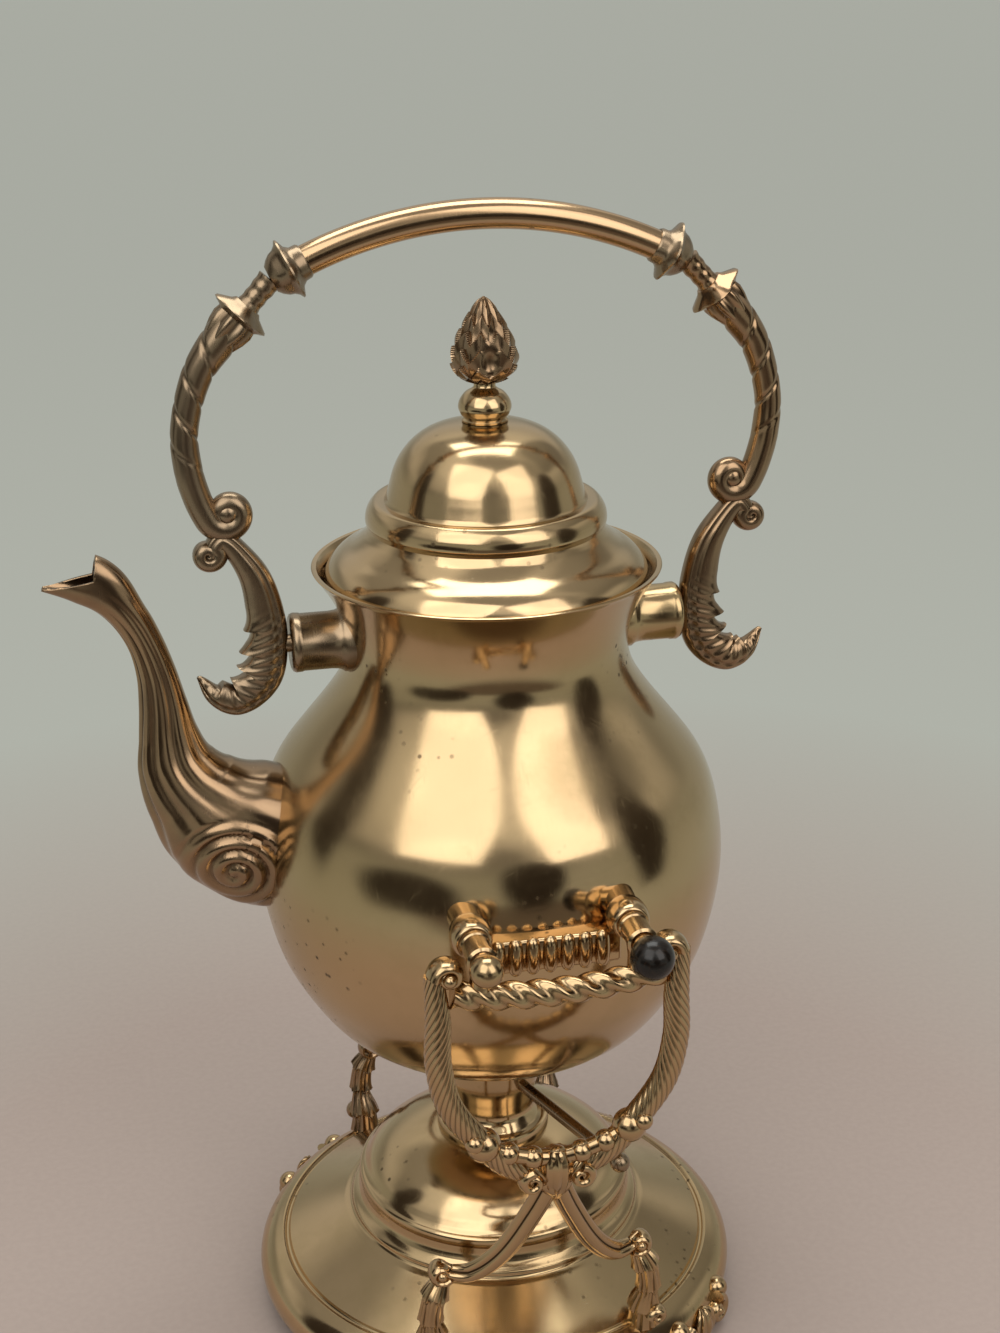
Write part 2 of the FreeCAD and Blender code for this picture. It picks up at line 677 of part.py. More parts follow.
def near_lock_rod():
    return rod(V(PIN_X, -PIN_IN, PIN_Z), V(PIN_X, -LOCK_KNOB_Y, PIN_Z), PIN_R)


def near_lock_knob():
    """The dark ball, with a socket for the rod's end."""
    ball = Part.makeSphere(LOCK_KNOB_R, V(PIN_X, -LOCK_KNOB_Y, PIN_Z))
    return ball.cut(near_lock_rod())


def shoe_height(standing):
    """Height of the base under a bracket's shoe."""
    return top_height(standing, SHOE_X, -SHOE_Y)


def rail_height(x):
    """Height of the sagging rail's middle line."""
    return RAIL_Z - RAIL_SAG * (1 - (x / VOLUTE_X) ** 2)


def near_bracket(standing):
    """The near bracket as one casting, open between its uprights and between its legs."""
    parts = []
    sleeve_y = -BRACKET_Y - 0.5 * SLEEVE_LENGTH
    rail = [V(x * VOLUTE_X, -BRACKET_Y, rail_height(x * VOLUTE_X)) for x in (-1, -0.5, 0, 0.5, 1)]
    parts.append(limb(rail, [RAIL_R] * len(rail), Y_AXIS))
    beads = []
    for i in range(BEADS):
        x = COLLAR_X * (2 * i / (BEADS - 1) - 1)
        z = COLLAR_Z - (COLLAR_Z - CROSSBAR_Z) * (1 - (x / COLLAR_X) ** 2)
        beads.append(V(x, -CROSSBAR_Y, z))
    parts.append(limb(beads, [0.75 * BEAD_R] * BEADS, Y_AXIS))
    parts.extend(Part.makeSphere(BEAD_R, spot) for spot in beads[1:-1])
    joint = V(0, -JOINT_Y, JOINT_Z)
    parts.append(rod(joint, V(0, -CROSSBAR_Y, CROSSBAR_Z), 1.3 * LEG_R))
    parts.append(Part.makeSphere(JOINT_R, joint))
    floor_z = shoe_height(standing)
    for side in (-1, 1):
        parts.append(Part.makeCylinder(SLEEVE_R, SLEEVE_LENGTH, V(side * PIN_X, sleeve_y, PIN_Z), Y_AXIS))
        sleeve = V(side * PIN_X, -BRACKET_Y, PIN_Z)
        parts.append(rod(sleeve, V(sleeve.x, sleeve.y, rail_height(PIN_X)), 0.8 * RAIL_R))
        parts.append(Part.makeSphere(1.2 * RAIL_R, rail[0 if side < 0 else -1]))
        volute = V(side * VOLUTE_X, -BRACKET_Y - 0.5 * VOLUTE_WIDTH, VOLUTE_Z)
        parts.append(Part.makeCylinder(VOLUTE_R, VOLUTE_WIDTH, volute, Y_AXIS))
        upright = [
            V(side * VOLUTE_X, -BRACKET_Y, VOLUTE_Z - 2.0),
            V(side * (UPRIGHT_X - 0.8), -BRACKET_Y, 0.5 * (VOLUTE_Z + UPRIGHT_Z)),
            V(side * UPRIGHT_X, -BRACKET_Y, UPRIGHT_Z),
            V(side * (UPRIGHT_X - 3.2), -BRACKET_Y + 0.5, 0.5 * (UPRIGHT_Z + COLLAR_Z)),
            V(side * COLLAR_X, -CROSSBAR_Y, COLLAR_Z),
            V(side * (COLLAR_X - 7.0), 1.0 - CROSSBAR_Y, COLLAR_Z - 8.0),
            joint,
        ]
        parts.append(limb(upright, [UPRIGHT_R] * len(upright), Y_AXIS))
        parts.append(Part.makeSphere(COLLAR_R, upright[4]))
        knee = V(side * KNEE_X, -KNEE_Y, KNEE_Z)
        back = JOINT_Y - KNEE_Y
        fall = JOINT_Z - KNEE_Z
        bend = V(side * 0.80 * KNEE_X, -KNEE_Y - 0.1 * back, KNEE_Z - 0.5)
        leg = [
            joint + V(0, 0, 2.0),
            V(side * 0.18 * KNEE_X, -JOINT_Y + 0.22 * back, JOINT_Z - 0.33 * fall),
            V(side * 0.45 * KNEE_X, -JOINT_Y + 0.5 * back, JOINT_Z - 0.74 * fall),
            bend,
        ]
        parts.append(limb(leg, [LEG_R] * len(leg), Y_AXIS))
        parts.append(Part.makeSphere(1.1 * LEG_R, bend))
        parts.append(rod(bend, knee, 0.95 * LEG_R))
        parts.append(Part.makeSphere(KNEE_R, knee))
        shoe = V(side * SHOE_X, -SHOE_Y, floor_z)
        drop = [
            knee,
            V(side * (KNEE_X + 2.8), -KNEE_Y - 1.0, 0.55 * KNEE_Z + 0.45 * floor_z),
            shoe + V(0, 0, 3.0),
            shoe - V(0, 0, SHOE_SUNK),
        ]
        parts.append(limb(drop, [LEG_R, 1.25 * LEG_R, SHOE_R, SHOE_R], Y_AXIS))
    bores = []
    for x, radius in ((-PIN_X, PIN_R), (PIN_X, PIN_R + RUNNING)):
        bores.append(rod(V(x, -PIN_IN, PIN_Z), V(x, -LOCK_KNOB_Y, PIN_Z), radius))
    screws = [bracket_screw(standing, side) for side in (-1, 1)]
    return joined(parts).cut([standing] + bores + screws)


def bracket_screw(standing, side):
    """A screw up through the base into a shoe."""
    spot = V(side * SHOE_X, -SHOE_Y, shoe_height(standing) - BRACKET_SCREW_UNDER)
    shank = Part.makeCylinder(BRACKET_SCREW_R, BRACKET_SCREW_GRIP, spot)
    head = Part.makeCylinder(BRACKET_SCREW_HEAD_R, SCREW_HEAD_H, spot - V(0, 0, SCREW_HEAD_H))
    return joined([shank, head])


def lid_profile():
    """The lid's outer side from its edge to the top."""
    skirt = [
        (LID_R, LID_EDGE_Z),
        (LID_R - 1.5, LID_EDGE_Z + 2.6),
        (LID_R - 4.4, LID_EDGE_Z + 5.6),
        (0.5 * (LID_R + RING_R) - 1.9, RING_Z - 6.4),
        (RING_R + 0.9, RING_Z - 3.2),
        (RING_R - 0.6, RING_Z - 1.2),
    ]
    rise = LID_TOP_Z - RING_TOP_Z
    dome = [
        (DOME_FOOT_R, RING_TOP_Z),
        (DOME_FOOT_R - 1.3, RING_TOP_Z + 0.22 * rise),
        (DOME_FOOT_R - 4.2, RING_TOP_Z + 0.55 * rise),
        (DOME_FOOT_R - 11.4, RING_TOP_Z + 0.86 * rise),
        (0.25 * DOME_FOOT_R, LID_TOP_Z - 0.5),
        (0, LID_TOP_Z),
    ]
    return skirt, dome


def lid_inner_profile():
    skirt, dome = lid_profile()
    lower = [(r - LID_WALL, z - 0.6 * LID_WALL) for r, z in skirt]
    lower[0] = (LID_R - 1.2 * LID_WALL, LID_EDGE_Z)
    upper = [(max(r - LID_WALL, 0.0), z - LID_WALL) for r, z in dome]
    return lower, upper


def lid_shell():
    skirt, dome = lid_profile()
    lower, upper = lid_inner_profile()
    shell = turned(
        skirt,
        [skirt[-1], (RING_R, RING_Z)],
        [(RING_R, RING_Z), (RING_TOP_R, RING_TOP_Z)],
        [(RING_TOP_R, RING_TOP_Z), dome[0]],
        dome,
        [dome[-1], upper[-1]],
        list(reversed(upper)),
        [upper[0], lower[-1]],
        list(reversed(lower)),
        [lower[0], skirt[0]],
    )
    return shell.cut(finial_stud())


def finial_stud():
    """The stud that goes down through the lid into the nut."""
    return rod(V(0, 0, STUD_LOW_Z), V(0, 0, KNOB_Z), STUD_R)


def lid_hollow():
    """The space under the lid, open below."""
    lower, upper = lid_inner_profile()
    return turned(
        [(0, BEZEL_LOW_Z), (lower[0][0], BEZEL_LOW_Z)],
        [(lower[0][0], BEZEL_LOW_Z), lower[0]],
        lower,
        [lower[-1], upper[0]],
        upper,
        [upper[-1], (0, BEZEL_LOW_Z)],
    )


def lid_bezel():
    tall = RING_Z - BEZEL_LOW_Z
    tube = Part.makeCylinder(BEZEL_R, tall, V(0, 0, BEZEL_LOW_Z))
    bore = Part.makeCylinder(BEZEL_R - BEZEL_WALL, tall, V(0, 0, BEZEL_LOW_Z))
    return tube.cut(bore).common(lid_hollow())


def finial_knob():
    """A bun on a small collar, with the stud that goes down through the lid."""
    low = LID_TOP_Z
    body = turned(
        [(0, low), (KNOB_COLLAR_R, low)],
        [(KNOB_COLLAR_R, low), (KNOB_COLLAR_R - 0.6, low + 1.0)],
        [
            (KNOB_COLLAR_R - 0.6, low + 1.0),
            (KNOB_R, KNOB_Z),
            (0.62 * KNOB_R, KNOB_NECK_Z - 1.0),
            (KNOB_NECK_R, KNOB_NECK_Z),
        ],
        [(KNOB_NECK_R, KNOB_NECK_Z), (KNOB_NECK_R, KNOB_TOP_Z)],
        [(KNOB_NECK_R, KNOB_TOP_Z), (0, KNOB_TOP_Z)],
        [(0, KNOB_TOP_Z), (0, low)],
    )
    return joined([body, finial_stud()])


def finial_bud():
    low = KNOB_TOP_Z
    return turned(
        [(0, low), (KNOB_NECK_R, low)],
        [
            (KNOB_NECK_R, low),
            (0.80 * BUD_R, low + 0.45 * (BUD_Z - low)),
            (BUD_R, BUD_Z),
            (0.72 * BUD_R, BUD_Z + 0.42 * (BUD_TIP_Z - BUD_Z)),
            (0.26 * BUD_R, BUD_Z + 0.80 * (BUD_TIP_Z - BUD_Z)),
            (0, BUD_TIP_Z),
        ],
        [(0, BUD_TIP_Z), (0, low)],
    )


def finial_nut(lid):
    """A hexagonal nut on the stud, bedded against the lid's underside."""
    top = LID_TOP_Z - LID_WALL
    corners = []
    for i in range(7):
        turn = math.radians(60 * i)
        corners.append(V(NUT_R * math.cos(turn), NUT_R * math.sin(turn), top - NUT_H))
    nut = Part.Face(Part.makePolygon(corners)).extrude(V(0, 0, NUT_H))
    return nut.cut([finial_stud(), lid])


def hinge_barrel(x_low, x_high):
    return rod(V(x_low, HINGE_Y, HINGE_Z), V(x_high, HINGE_Y, HINGE_Z), HINGE_R)


def hinge_pin():
    half = 0.5 * HINGE_LENGTH
    return rod(V(-half, HINGE_Y, HINGE_Z), V(half, HINGE_Y, HINGE_Z), HINGE_PIN_R)


def pot_hinge(pot):
    """Two knuckles on a small bracket soldered under the mouth's edge."""
    half = 0.5 * HINGE_LENGTH
    inner = 0.5 * HINGE_MIDDLE + FACE_GAP
    low_z = HINGE_Z - HINGE_DROP
    pieces = []
    for low, high in ((-half, -inner), (inner, half)):
        pieces.append(hinge_barrel(low, high))
        pieces.append(Part.makeBox(high - low, HINGE_R, HINGE_DROP, V(low, HINGE_Y, low_z)))
    deep = HINGE_Y + HINGE_R - NECK_R
    pieces.append(Part.makeBox(HINGE_LENGTH, deep, HINGE_WEB_H, V(-half, NECK_R, low_z)))
    return joined(pieces).cut([pot, hinge_pin()])


def lid_hinge(lid_filled):
    """The middle knuckle with a strap that follows the lid's skirt."""
    half = 0.5 * HINGE_MIDDLE
    knuckle = hinge_barrel(-half, half)
    end_y = LID_R - STRAP_REACH
    bend_y = LID_R - 0.2 * STRAP_REACH
    outline = [
        (HINGE_Y, HINGE_Z - 0.6 * HINGE_R),
        (HINGE_Y, HINGE_Z + HINGE_R),
        (bend_y, lid_skirt_z(bend_y) + 2.2 * STRAP_WALL),
        (end_y, lid_skirt_z(end_y) + STRAP_WALL),
        (end_y, lid_skirt_z(end_y) - 2 * STRAP_WALL),
        (LID_R - LID_WALL, LID_EDGE_Z + 2 * LID_WALL),
    ]
    spots = [V(-half, y, z) for y, z in outline]
    strap = Part.Face(Part.makePolygon(spots + spots[:1])).extrude(X_AXIS * HINGE_MIDDLE)
    bore = rod(V(-half, HINGE_Y, HINGE_Z), V(half, HINGE_Y, HINGE_Z), HINGE_PIN_R + RUNNING)
    return joined([knuckle, strap]).cut([lid_filled, bore])


def lid_skirt_z(radius):
    """Height of the lid's skirt at a radius, read between its points."""
    skirt, _ = lid_profile()
    for (r0, z0), (r1, z1) in zip(skirt, skirt[1:]):
        if r1 <= radius <= r0:
            return z0 + (z1 - z0) * (r0 - radius) / (r0 - r1)
    return skirt[-1][1]


def lid_solid():
    skirt, dome = lid_profile()
    return turned(
        [(0, LID_EDGE_Z), skirt[0]],
        skirt,
        [skirt[-1], (RING_R, RING_Z)],
        [(RING_R, RING_Z), (RING_TOP_R, RING_TOP_Z)],
        [(RING_TOP_R, RING_TOP_Z), dome[0]],
        dome,
        [dome[-1], (0, LID_EDGE_Z)],
    )


def main():
    os.makedirs("parts", exist_ok=True)
    pot = pot_solid()
    standing = base_solid()
    screws = [bracket_screw(standing, side) for side in (-1, 1)]
    screws += [mirrored(screw, Y_AXIS) for screw in screws]

    save("base_shell", base_shell().cut(screws))
    for name, angle in foot_places():
        piece = foot(standing)
        piece.rotate(ORIGIN, Z_AXIS, angle)
        save(name, piece)
    save("bracket_screws", Part.makeCompound(screws))
    bracket = near_bracket(standing)
    save("near_bracket", bracket)
    save("far_bracket", mirrored(bracket, Y_AXIS))
    save("near_pivot_pin", near_pivot_pin())
    save("far_pivot_pin", mirrored(near_pivot_pin(), Y_AXIS))
    save("burner_seat", burner_seat())

    save("near_lock_rod", near_lock_rod())
    save("near_lock_knob", near_lock_knob())
    save("far_lock_rod", mirrored(near_lock_rod(), Y_AXIS))
    save("far_lock_knob", mirrored(near_lock_knob(), Y_AXIS))

    bowl = burner_bowl()
    save("burner_bowl", bowl)
    save("burner_cap", burner_cap())
    save("wick", wick())
    save("burner_handle", burner_handle(bowl))

    save("pot_body", pot_body())
    save("spout", spout(pot))
    boss = handle_boss(pot)
    save("handle_boss_rear", boss)
    save("handle_boss_spout", mirrored(boss, X_AXIS))
    lug = near_lug(pot)
    save("near_lug", lug)
    save("far_lug", mirrored(lug, Y_AXIS))
    save("pot_hinge", pot_hinge(pot))
    save("lid_hinge_pin", hinge_pin())

    grip = handle_grip()
    save("handle_grip", grip)
    ferrule = grip_ferrule(grip)
    save("grip_ferrule_rear", ferrule)
    save("grip_ferrule_spout", mirrored(ferrule, X_AXIS))
    arm = handle_arm(ferrule)
    save("handle_arm_rear", arm)
    save("handle_arm_spout", mirrored(arm, X_AXIS))
    save("handle_pin_rear", handle_pin())
    save("handle_pin_spout", mirrored(handle_pin(), X_AXIS))

    lid = lid_shell()
    save("lid_shell", lid)
    save("lid_bezel", lid_bezel())
    save("finial_knob", finial_knob())
    save("finial_bud", finial_bud())
    save("finial_nut", finial_nut(lid))
    save("lid_hinge", lid_hinge(lid_solid()))


main()
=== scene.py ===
"""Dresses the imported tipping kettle: spun and cast brass pieces, their finishes, the light and the camera."""

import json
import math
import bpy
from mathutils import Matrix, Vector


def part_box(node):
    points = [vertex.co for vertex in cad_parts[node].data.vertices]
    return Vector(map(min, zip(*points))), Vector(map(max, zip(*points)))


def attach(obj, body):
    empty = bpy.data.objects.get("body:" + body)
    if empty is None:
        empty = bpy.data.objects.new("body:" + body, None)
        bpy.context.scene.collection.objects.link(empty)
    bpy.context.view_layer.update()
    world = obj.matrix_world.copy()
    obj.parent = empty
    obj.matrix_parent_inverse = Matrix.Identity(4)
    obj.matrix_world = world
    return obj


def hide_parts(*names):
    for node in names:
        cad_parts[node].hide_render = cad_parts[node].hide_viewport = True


bl_info = {
    "name": "Tipping kettle dressing",
    "version": (1, 0, 0),
    "blender": (4, 5, 0),
    "location": "View3D > Sidebar > Kettle",
    "description": "Builds the visible pieces of a brass tipping kettle on its stand around the packed frame",
    "category": "Object",
}

import bmesh
import bpy
from bpy.props import FloatProperty, FloatVectorProperty, IntProperty, PointerProperty
from bpy.types import Operator, Panel, PropertyGroup
from mathutils import Matrix, Vector

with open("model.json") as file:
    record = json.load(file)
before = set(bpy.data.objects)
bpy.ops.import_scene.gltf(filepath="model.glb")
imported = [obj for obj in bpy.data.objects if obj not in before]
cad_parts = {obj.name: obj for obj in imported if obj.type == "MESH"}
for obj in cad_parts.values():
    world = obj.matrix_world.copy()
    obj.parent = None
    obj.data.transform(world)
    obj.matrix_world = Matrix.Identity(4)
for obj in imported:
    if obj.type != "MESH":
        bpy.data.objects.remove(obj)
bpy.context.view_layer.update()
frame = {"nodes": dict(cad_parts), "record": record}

MM = 0.001
TURN = 2 * math.pi
HALF_TURN = math.pi
Y_SIDE = Vector((0, 1, 0))
Z_SIDE = Vector((0, 0, 1))
HINGE_PLACE = Vector((0, 54.2, 249.4))
BOSS_HEIGHT = 226.0
SHARP_EDGE = math.radians(38.0)


def length(name, default, description):
    """A size in metres that shows in the scene's units."""
    return FloatProperty(name=name, default=default, description=description, unit="LENGTH", precision=4)


def tint(name, default, description):
    """A colour that a user may change."""
    return FloatVectorProperty(name=name, default=default, description=description, subtype="COLOR",
                               size=4, min=0.0, max=1.0)


class KettleSizes(PropertyGroup):
    """Sizes that the spun and cast pieces are drawn from."""

    rim_radius: length("Base radius", 0.0772, "Radius of the base's rounded rim")
    pot_radius: length("Pot radius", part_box("pot_body")[1].x, "Widest radius of the pot")
    mouth_height: length("Mouth height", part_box("pot_body")[1].z, "Height of the pot's mouth")
    neck_radius: length("Neck radius", 0.0408, "Narrowest radius of the pot's neck")
    mouth_radius: length("Mouth radius", 0.0510, "Radius of the flared mouth")
    sheet: length("Sheet", 0.0012, "Thickness of the spun sheet")
    grip_radius: length("Grip radius", 0.0043, "Radius of the handle's grip")
    pin_spread: length("Pin spread", 0.0220, "Distance of each tipping pin from the middle")
    pin_height: length("Pin height", 0.1650, "Height of the tipping pins")
    bracket_plane: length("Bracket plane", 0.0840, "Distance of a bracket's plane from the middle")
    strand_radius: length("Strand radius", 0.0036, "Radius of a bracket's upright")
    beads: IntProperty(name="Beads", default=7, min=3, description="Beads on a bracket's crossbar")
    twists: IntProperty(name="Twists", default=5, min=1, description="Turns of the flutes along a handle arm")


class KettleFinishes(PropertyGroup):
    """Colours of the finishes."""

    polished: tint("Polished brass", (0.59, 0.425, 0.245, 1), "Spun brass of the pot, the lid and the base")
    tarnish: tint("Tarnish", (0.435, 0.318, 0.160, 1), "Olive film on brass that is less rubbed")
    cast: tint("Cast brass", (0.51, 0.350, 0.195, 1),
               "Cast brass of the near bracket, the feet, the lugs and the pins")
    # On the far bracket this browner tone is painted shade, and on the rear arm, lighter than the spout arm's
    # bronze, it is painted light; on the spout and the bud it is their own tone.
    aged: tint("Aged brass", (0.40, 0.262, 0.150, 1),
               "Browner cast brass of the spout, the bud, the rear arm and the far bracket")
    rubbed: tint("Rubbed bronze", (0.37, 0.270, 0.172, 1), "Dark bronze where hands have rubbed it")
    bronze: tint("Dark bronze", (0.155, 0.116, 0.082, 1), "Brown patina of the handle's arms")
    grip: tint("Grip brass", (0.56, 0.380, 0.220, 1), "Coppery brass of the grip")
    # The recess tone colours the specks, and it is also the painted shade laid into the hollows of the
    # ornament.
    recess: tint("Recess", (0.055, 0.034, 0.018, 1), "Dirt in the deep parts of the ornament")
    knob: tint("Knob", (0.007, 0.005, 0.004, 1), "Black polished wood of the lock pins' knobs")
    cotton: tint("Cotton", (0.72, 0.67, 0.57, 1), "Cotton of the wick")


class KettleStage(PropertyGroup):
    """Floor, light and camera."""

    floor: tint("Floor", (0.42, 0.345, 0.312, 1), "Pale floor under the stand")
    wall: tint("Wall", (0.384, 0.397, 0.354, 1), "Pale backdrop that the floor fades into")
    fade_start: length("Fade start", 0.20, "Distance from the axis where the floor's tone begins to fade")
    fade_end: length("Fade end", 0.52, "Distance from the axis where the floor has the background's tone")
    camera_distance: length("Camera distance", 0.5547, "Level distance of the camera from the kettle's axis")
    camera_height: length("Camera height", 0.4253, "Height of the camera above the floor")
    camera_turn: FloatProperty(name="Camera turn", default=math.radians(12.5), subtype="ANGLE",
                               description="Turn of the camera round the kettle towards the spout")
    camera_yaw: FloatProperty(name="Camera yaw", default=math.radians(0.376), subtype="ANGLE",
                              description="Turn of the camera away from the axis")
    camera_pitch: FloatProperty(name="Camera pitch", default=math.radians(20.93), subtype="ANGLE",
                                description="Tilt of the camera below the horizon")
    camera_roll: FloatProperty(name="Camera roll", default=math.radians(-0.514), subtype="ANGLE",
                               description="Roll of the camera about its view")
    lens: FloatProperty(name="Lens", default=36.0, min=1.0,
                        description="Focal length in mm on a 24 mm tall frame")


def smooth_line(points, count):
    """Evenly spread points on a smooth line through the given ones."""
    spots = [Vector(point) for point in points]
    marks = [0.0]
    for a, b in zip(spots, spots[1:]):
        marks.append(marks[-1] + (b - a).length)
    last = len(spots) - 1
    slopes = []
    for i in range(last + 1):
        low = max(i - 1, 0)
        high = min(i + 1, last)
        slopes.append((spots[high] - spots[low]) / (marks[high] - marks[low]))
    line = []
    span = 0
    for step in range(count):
        at = marks[-1] * step / (count - 1)
        while span < last - 1 and at > marks[span + 1]:
            span += 1
        gap = marks[span + 1] - marks[span]
        t = (at - marks[span]) / gap
        u = 1 - t
        line.append(
            spots[span] * (u * u * (1 + 2 * t))
            + slopes[span] * (gap * t * u * u)
            + spots[span + 1] * (t * t * (3 - 2 * t))
            - slopes[span + 1] * (gap * t * t * u)
        )
    return line


def eased(points, count):
    """The smooth line as plain (radius, height) pairs."""
    return [tuple(point) for point in smooth_line(points, count)]


def settled(line, rounds):
    """The line with its bends eased, its ends kept."""
    spots = [Vector(point) for point in line]
    for _ in range(rounds):
        inner = [0.25 * a + 0.5 * b + 0.25 * c for a, b, c in zip(spots, spots[1:], spots[2:])]
        spots = [spots[0]] + inner + [spots[-1]]
    return spots


def turned(profile, steps=176):
    """A body spun about Z from (radius, height) points in mm."""
    bm = bmesh.new()
    verts = [bm.verts.new((max(point[0], 0.0), 0, point[1])) for point in profile]
    edges = [bm.edges.new(pair) for pair in zip(verts, verts[1:])]
    bmesh.ops.spin(bm, geom=verts + edges, cent=(0, 0, 0), axis=(0, 0, 1), angle=TURN, steps=steps,
                   use_merge=True)
    bmesh.ops.remove_doubles(bm, verts=bm.verts, dist=1e-4)
    bmesh.ops.recalc_face_normals(bm, faces=bm.faces)
    return bm


def walled(profile, wall):
    """The profile with a second line inside it at the distance of the wall, from end to start."""
    inner = []
    last = len(profile) - 1
    for i, (r, z) in enumerate(profile):
        way = Vector(profile[min(i + 1, last)]) - Vector(profile[max(i - 1, 0)])
        way.normalize()
        inner.append((r - wall * way.y, z + wall * way.x))
    return [tuple(point) for point in profile] + inner[::-1]


def open_tube(along, around, place):
    """A grid rolled into a tube: place(share, angle) gives each point in mm."""
    bm = bmesh.new()
    bmesh.ops.create_grid(bm, x_segments=along, y_segments=around, size=0.5)
    for vert in bm.verts:
        vert.co = place(vert.co.x + 0.5, TURN * (vert.co.y + 0.5))
    bmesh.ops.remove_doubles(bm, verts=bm.verts, dist=1e-4)
    return bm


def rolled(along, around, place):
    """A rolled tube with its ends closed."""
    bm = open_tube(along, around, place)
    bmesh.ops.holes_fill(bm, edges=[edge for edge in bm.edges if edge.is_boundary])
    bmesh.ops.recalc_face_normals(bm, faces=bm.faces)
    return bm


class Way:
    """A smooth path in mm with a size at each point, and the axes across it."""

    def __init__(self, points, count, side=Y_SIDE):
        line = smooth_line(points, count)
        self.last = count - 1
        self.spots = [Vector(point[:3]) for point in line]
        self.sizes = [point[3] for point in line]
        self.ways = []
        self.sides = []
        self.outs = []
        for i in range(count):
            way = (self.spots[min(i + 1, self.last)] - self.spots[max(i - 1, 0)]).normalized()
            out = side.cross(way).normalized()
            self.ways.append(way)
            self.outs.append(out)
            self.sides.append(way.cross(out))
        self.length = sum((b - a).length for a, b in zip(self.spots, self.spots[1:]))

    def at(self, share):
        """The number of the point at a share of the path."""
        return min(round(share * self.last), self.last)

    def point(self, i, out, side):
        """The place beside a point of the path."""
        return self.spots[i] + self.outs[i] * out + self.sides[i] * side


def tube(points, count, around, relief=None, side=Y_SIDE, flat=1.0):
    """A tube along a path of (x, y, z, radius). relief(share, angle) is added to the radius."""
    way = Way(points, count, side)

    def place(share, angle):
        i = way.at(share)
        radius = way.sizes[i]
        if relief:
            radius += relief(share, angle)
        return way.point(i, radius * math.cos(angle), flat * radius * math.sin(angle))

    return rolled(way.last, around, place)


def joined(shapes):
    """One bmesh from several."""
    whole = bmesh.new()
    for shape in shapes:
        mesh = bpy.data.meshes.new("part")
        shape.to_mesh(mesh)
        shape.free()
        whole.from_mesh(mesh)
        bpy.data.meshes.remove(mesh)
    return whole


def moved(bm, matrix):
    """The shape after a move or turn."""
    bmesh.ops.transform(bm, matrix=matrix, verts=bm.verts)
    return bm


def flipped(bm, axis):
    """The shape mirrored in the plane across an axis, its faces still pointing out."""
    size = [1, 1, 1]
    size[axis] = -1
    bmesh.ops.scale(bm, vec=size, verts=bm.verts)
    bmesh.ops.reverse_faces(bm, faces=bm.faces)
    return bm


def stood(bm, spot, way):
    """Moves a shape spun about Z so that its axis runs through the spot along the way."""
    turn = Z_SIDE.rotation_difference(Vector(way)).to_matrix().to_4x4()
    return moved(bm, Matrix.Translation(spot) @ turn)


def lobed(bm, size):
    """The shape with each point drawn in or out across Z by size(turn, radius, height)."""
    for vert in bm.verts:
        turn = math.atan2(vert.co.y, vert.co.x)
        factor = size(turn, math.hypot(vert.co.x, vert.co.y), vert.co.z)
        vert.co.x *= factor
        vert.co.y *= factor
    return bm


def ball(spot, radius, steps=24):
    """A cast ball of the ornament."""
    bm = bmesh.new()
    bmesh.ops.create_uvsphere(bm, u_segments=2 * steps, v_segments=steps, radius=radius)
    return moved(bm, Matrix.Translation(spot))


def mark_recesses(bm):
    """Stores how hollow the surface is at each point, from its curvature, for the finishes to read."""
    layer = bm.verts.layers.float.new("recess")
    bm.normal_update()
    for vert in bm.verts:
        pull = 0.0
        for edge in vert.link_edges:
            way = edge.other_vert(vert).co - vert.co
            pull += way.dot(vert.normal) / max(way.length_squared, 1e-12)
        count = len(vert.link_edges)
        vert[layer] = max(-1.0, min(1.0, pull / max(count, 1) * MM))
    for _ in range(2):
        means = []
        for vert in bm.verts:
            total = vert[layer]
            for edge in vert.link_edges:
                total += edge.other_vert(vert)[layer]
            means.append(total / (len(vert.link_edges) + 1))
        for vert, mean in zip(bm.verts, means):
            vert[layer] = mean


def piece(name, bm, body, slot, node, look=None, ornament=False):
    """A finished piece from a shape in mm: it rides on its body and stands for its CAD node."""
    bmesh.ops.scale(bm, vec=(MM, MM, MM), verts=bm.verts)
    if ornament:
        mark_recesses(bm)
    mesh = bpy.data.meshes.new(name)
    bm.to_mesh(mesh)
    bm.free()
    mesh.polygons.foreach_set("use_smooth", [True] * len(mesh.polygons))
    mesh.set_sharp_from_angle(angle=SHARP_EDGE)
    mesh.materials.append(finish(look or slot))
    obj = bpy.data.objects.new(name, mesh)
    bpy.context.scene.collection.objects.link(obj)
    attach(obj, body)
    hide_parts(node)
    return obj


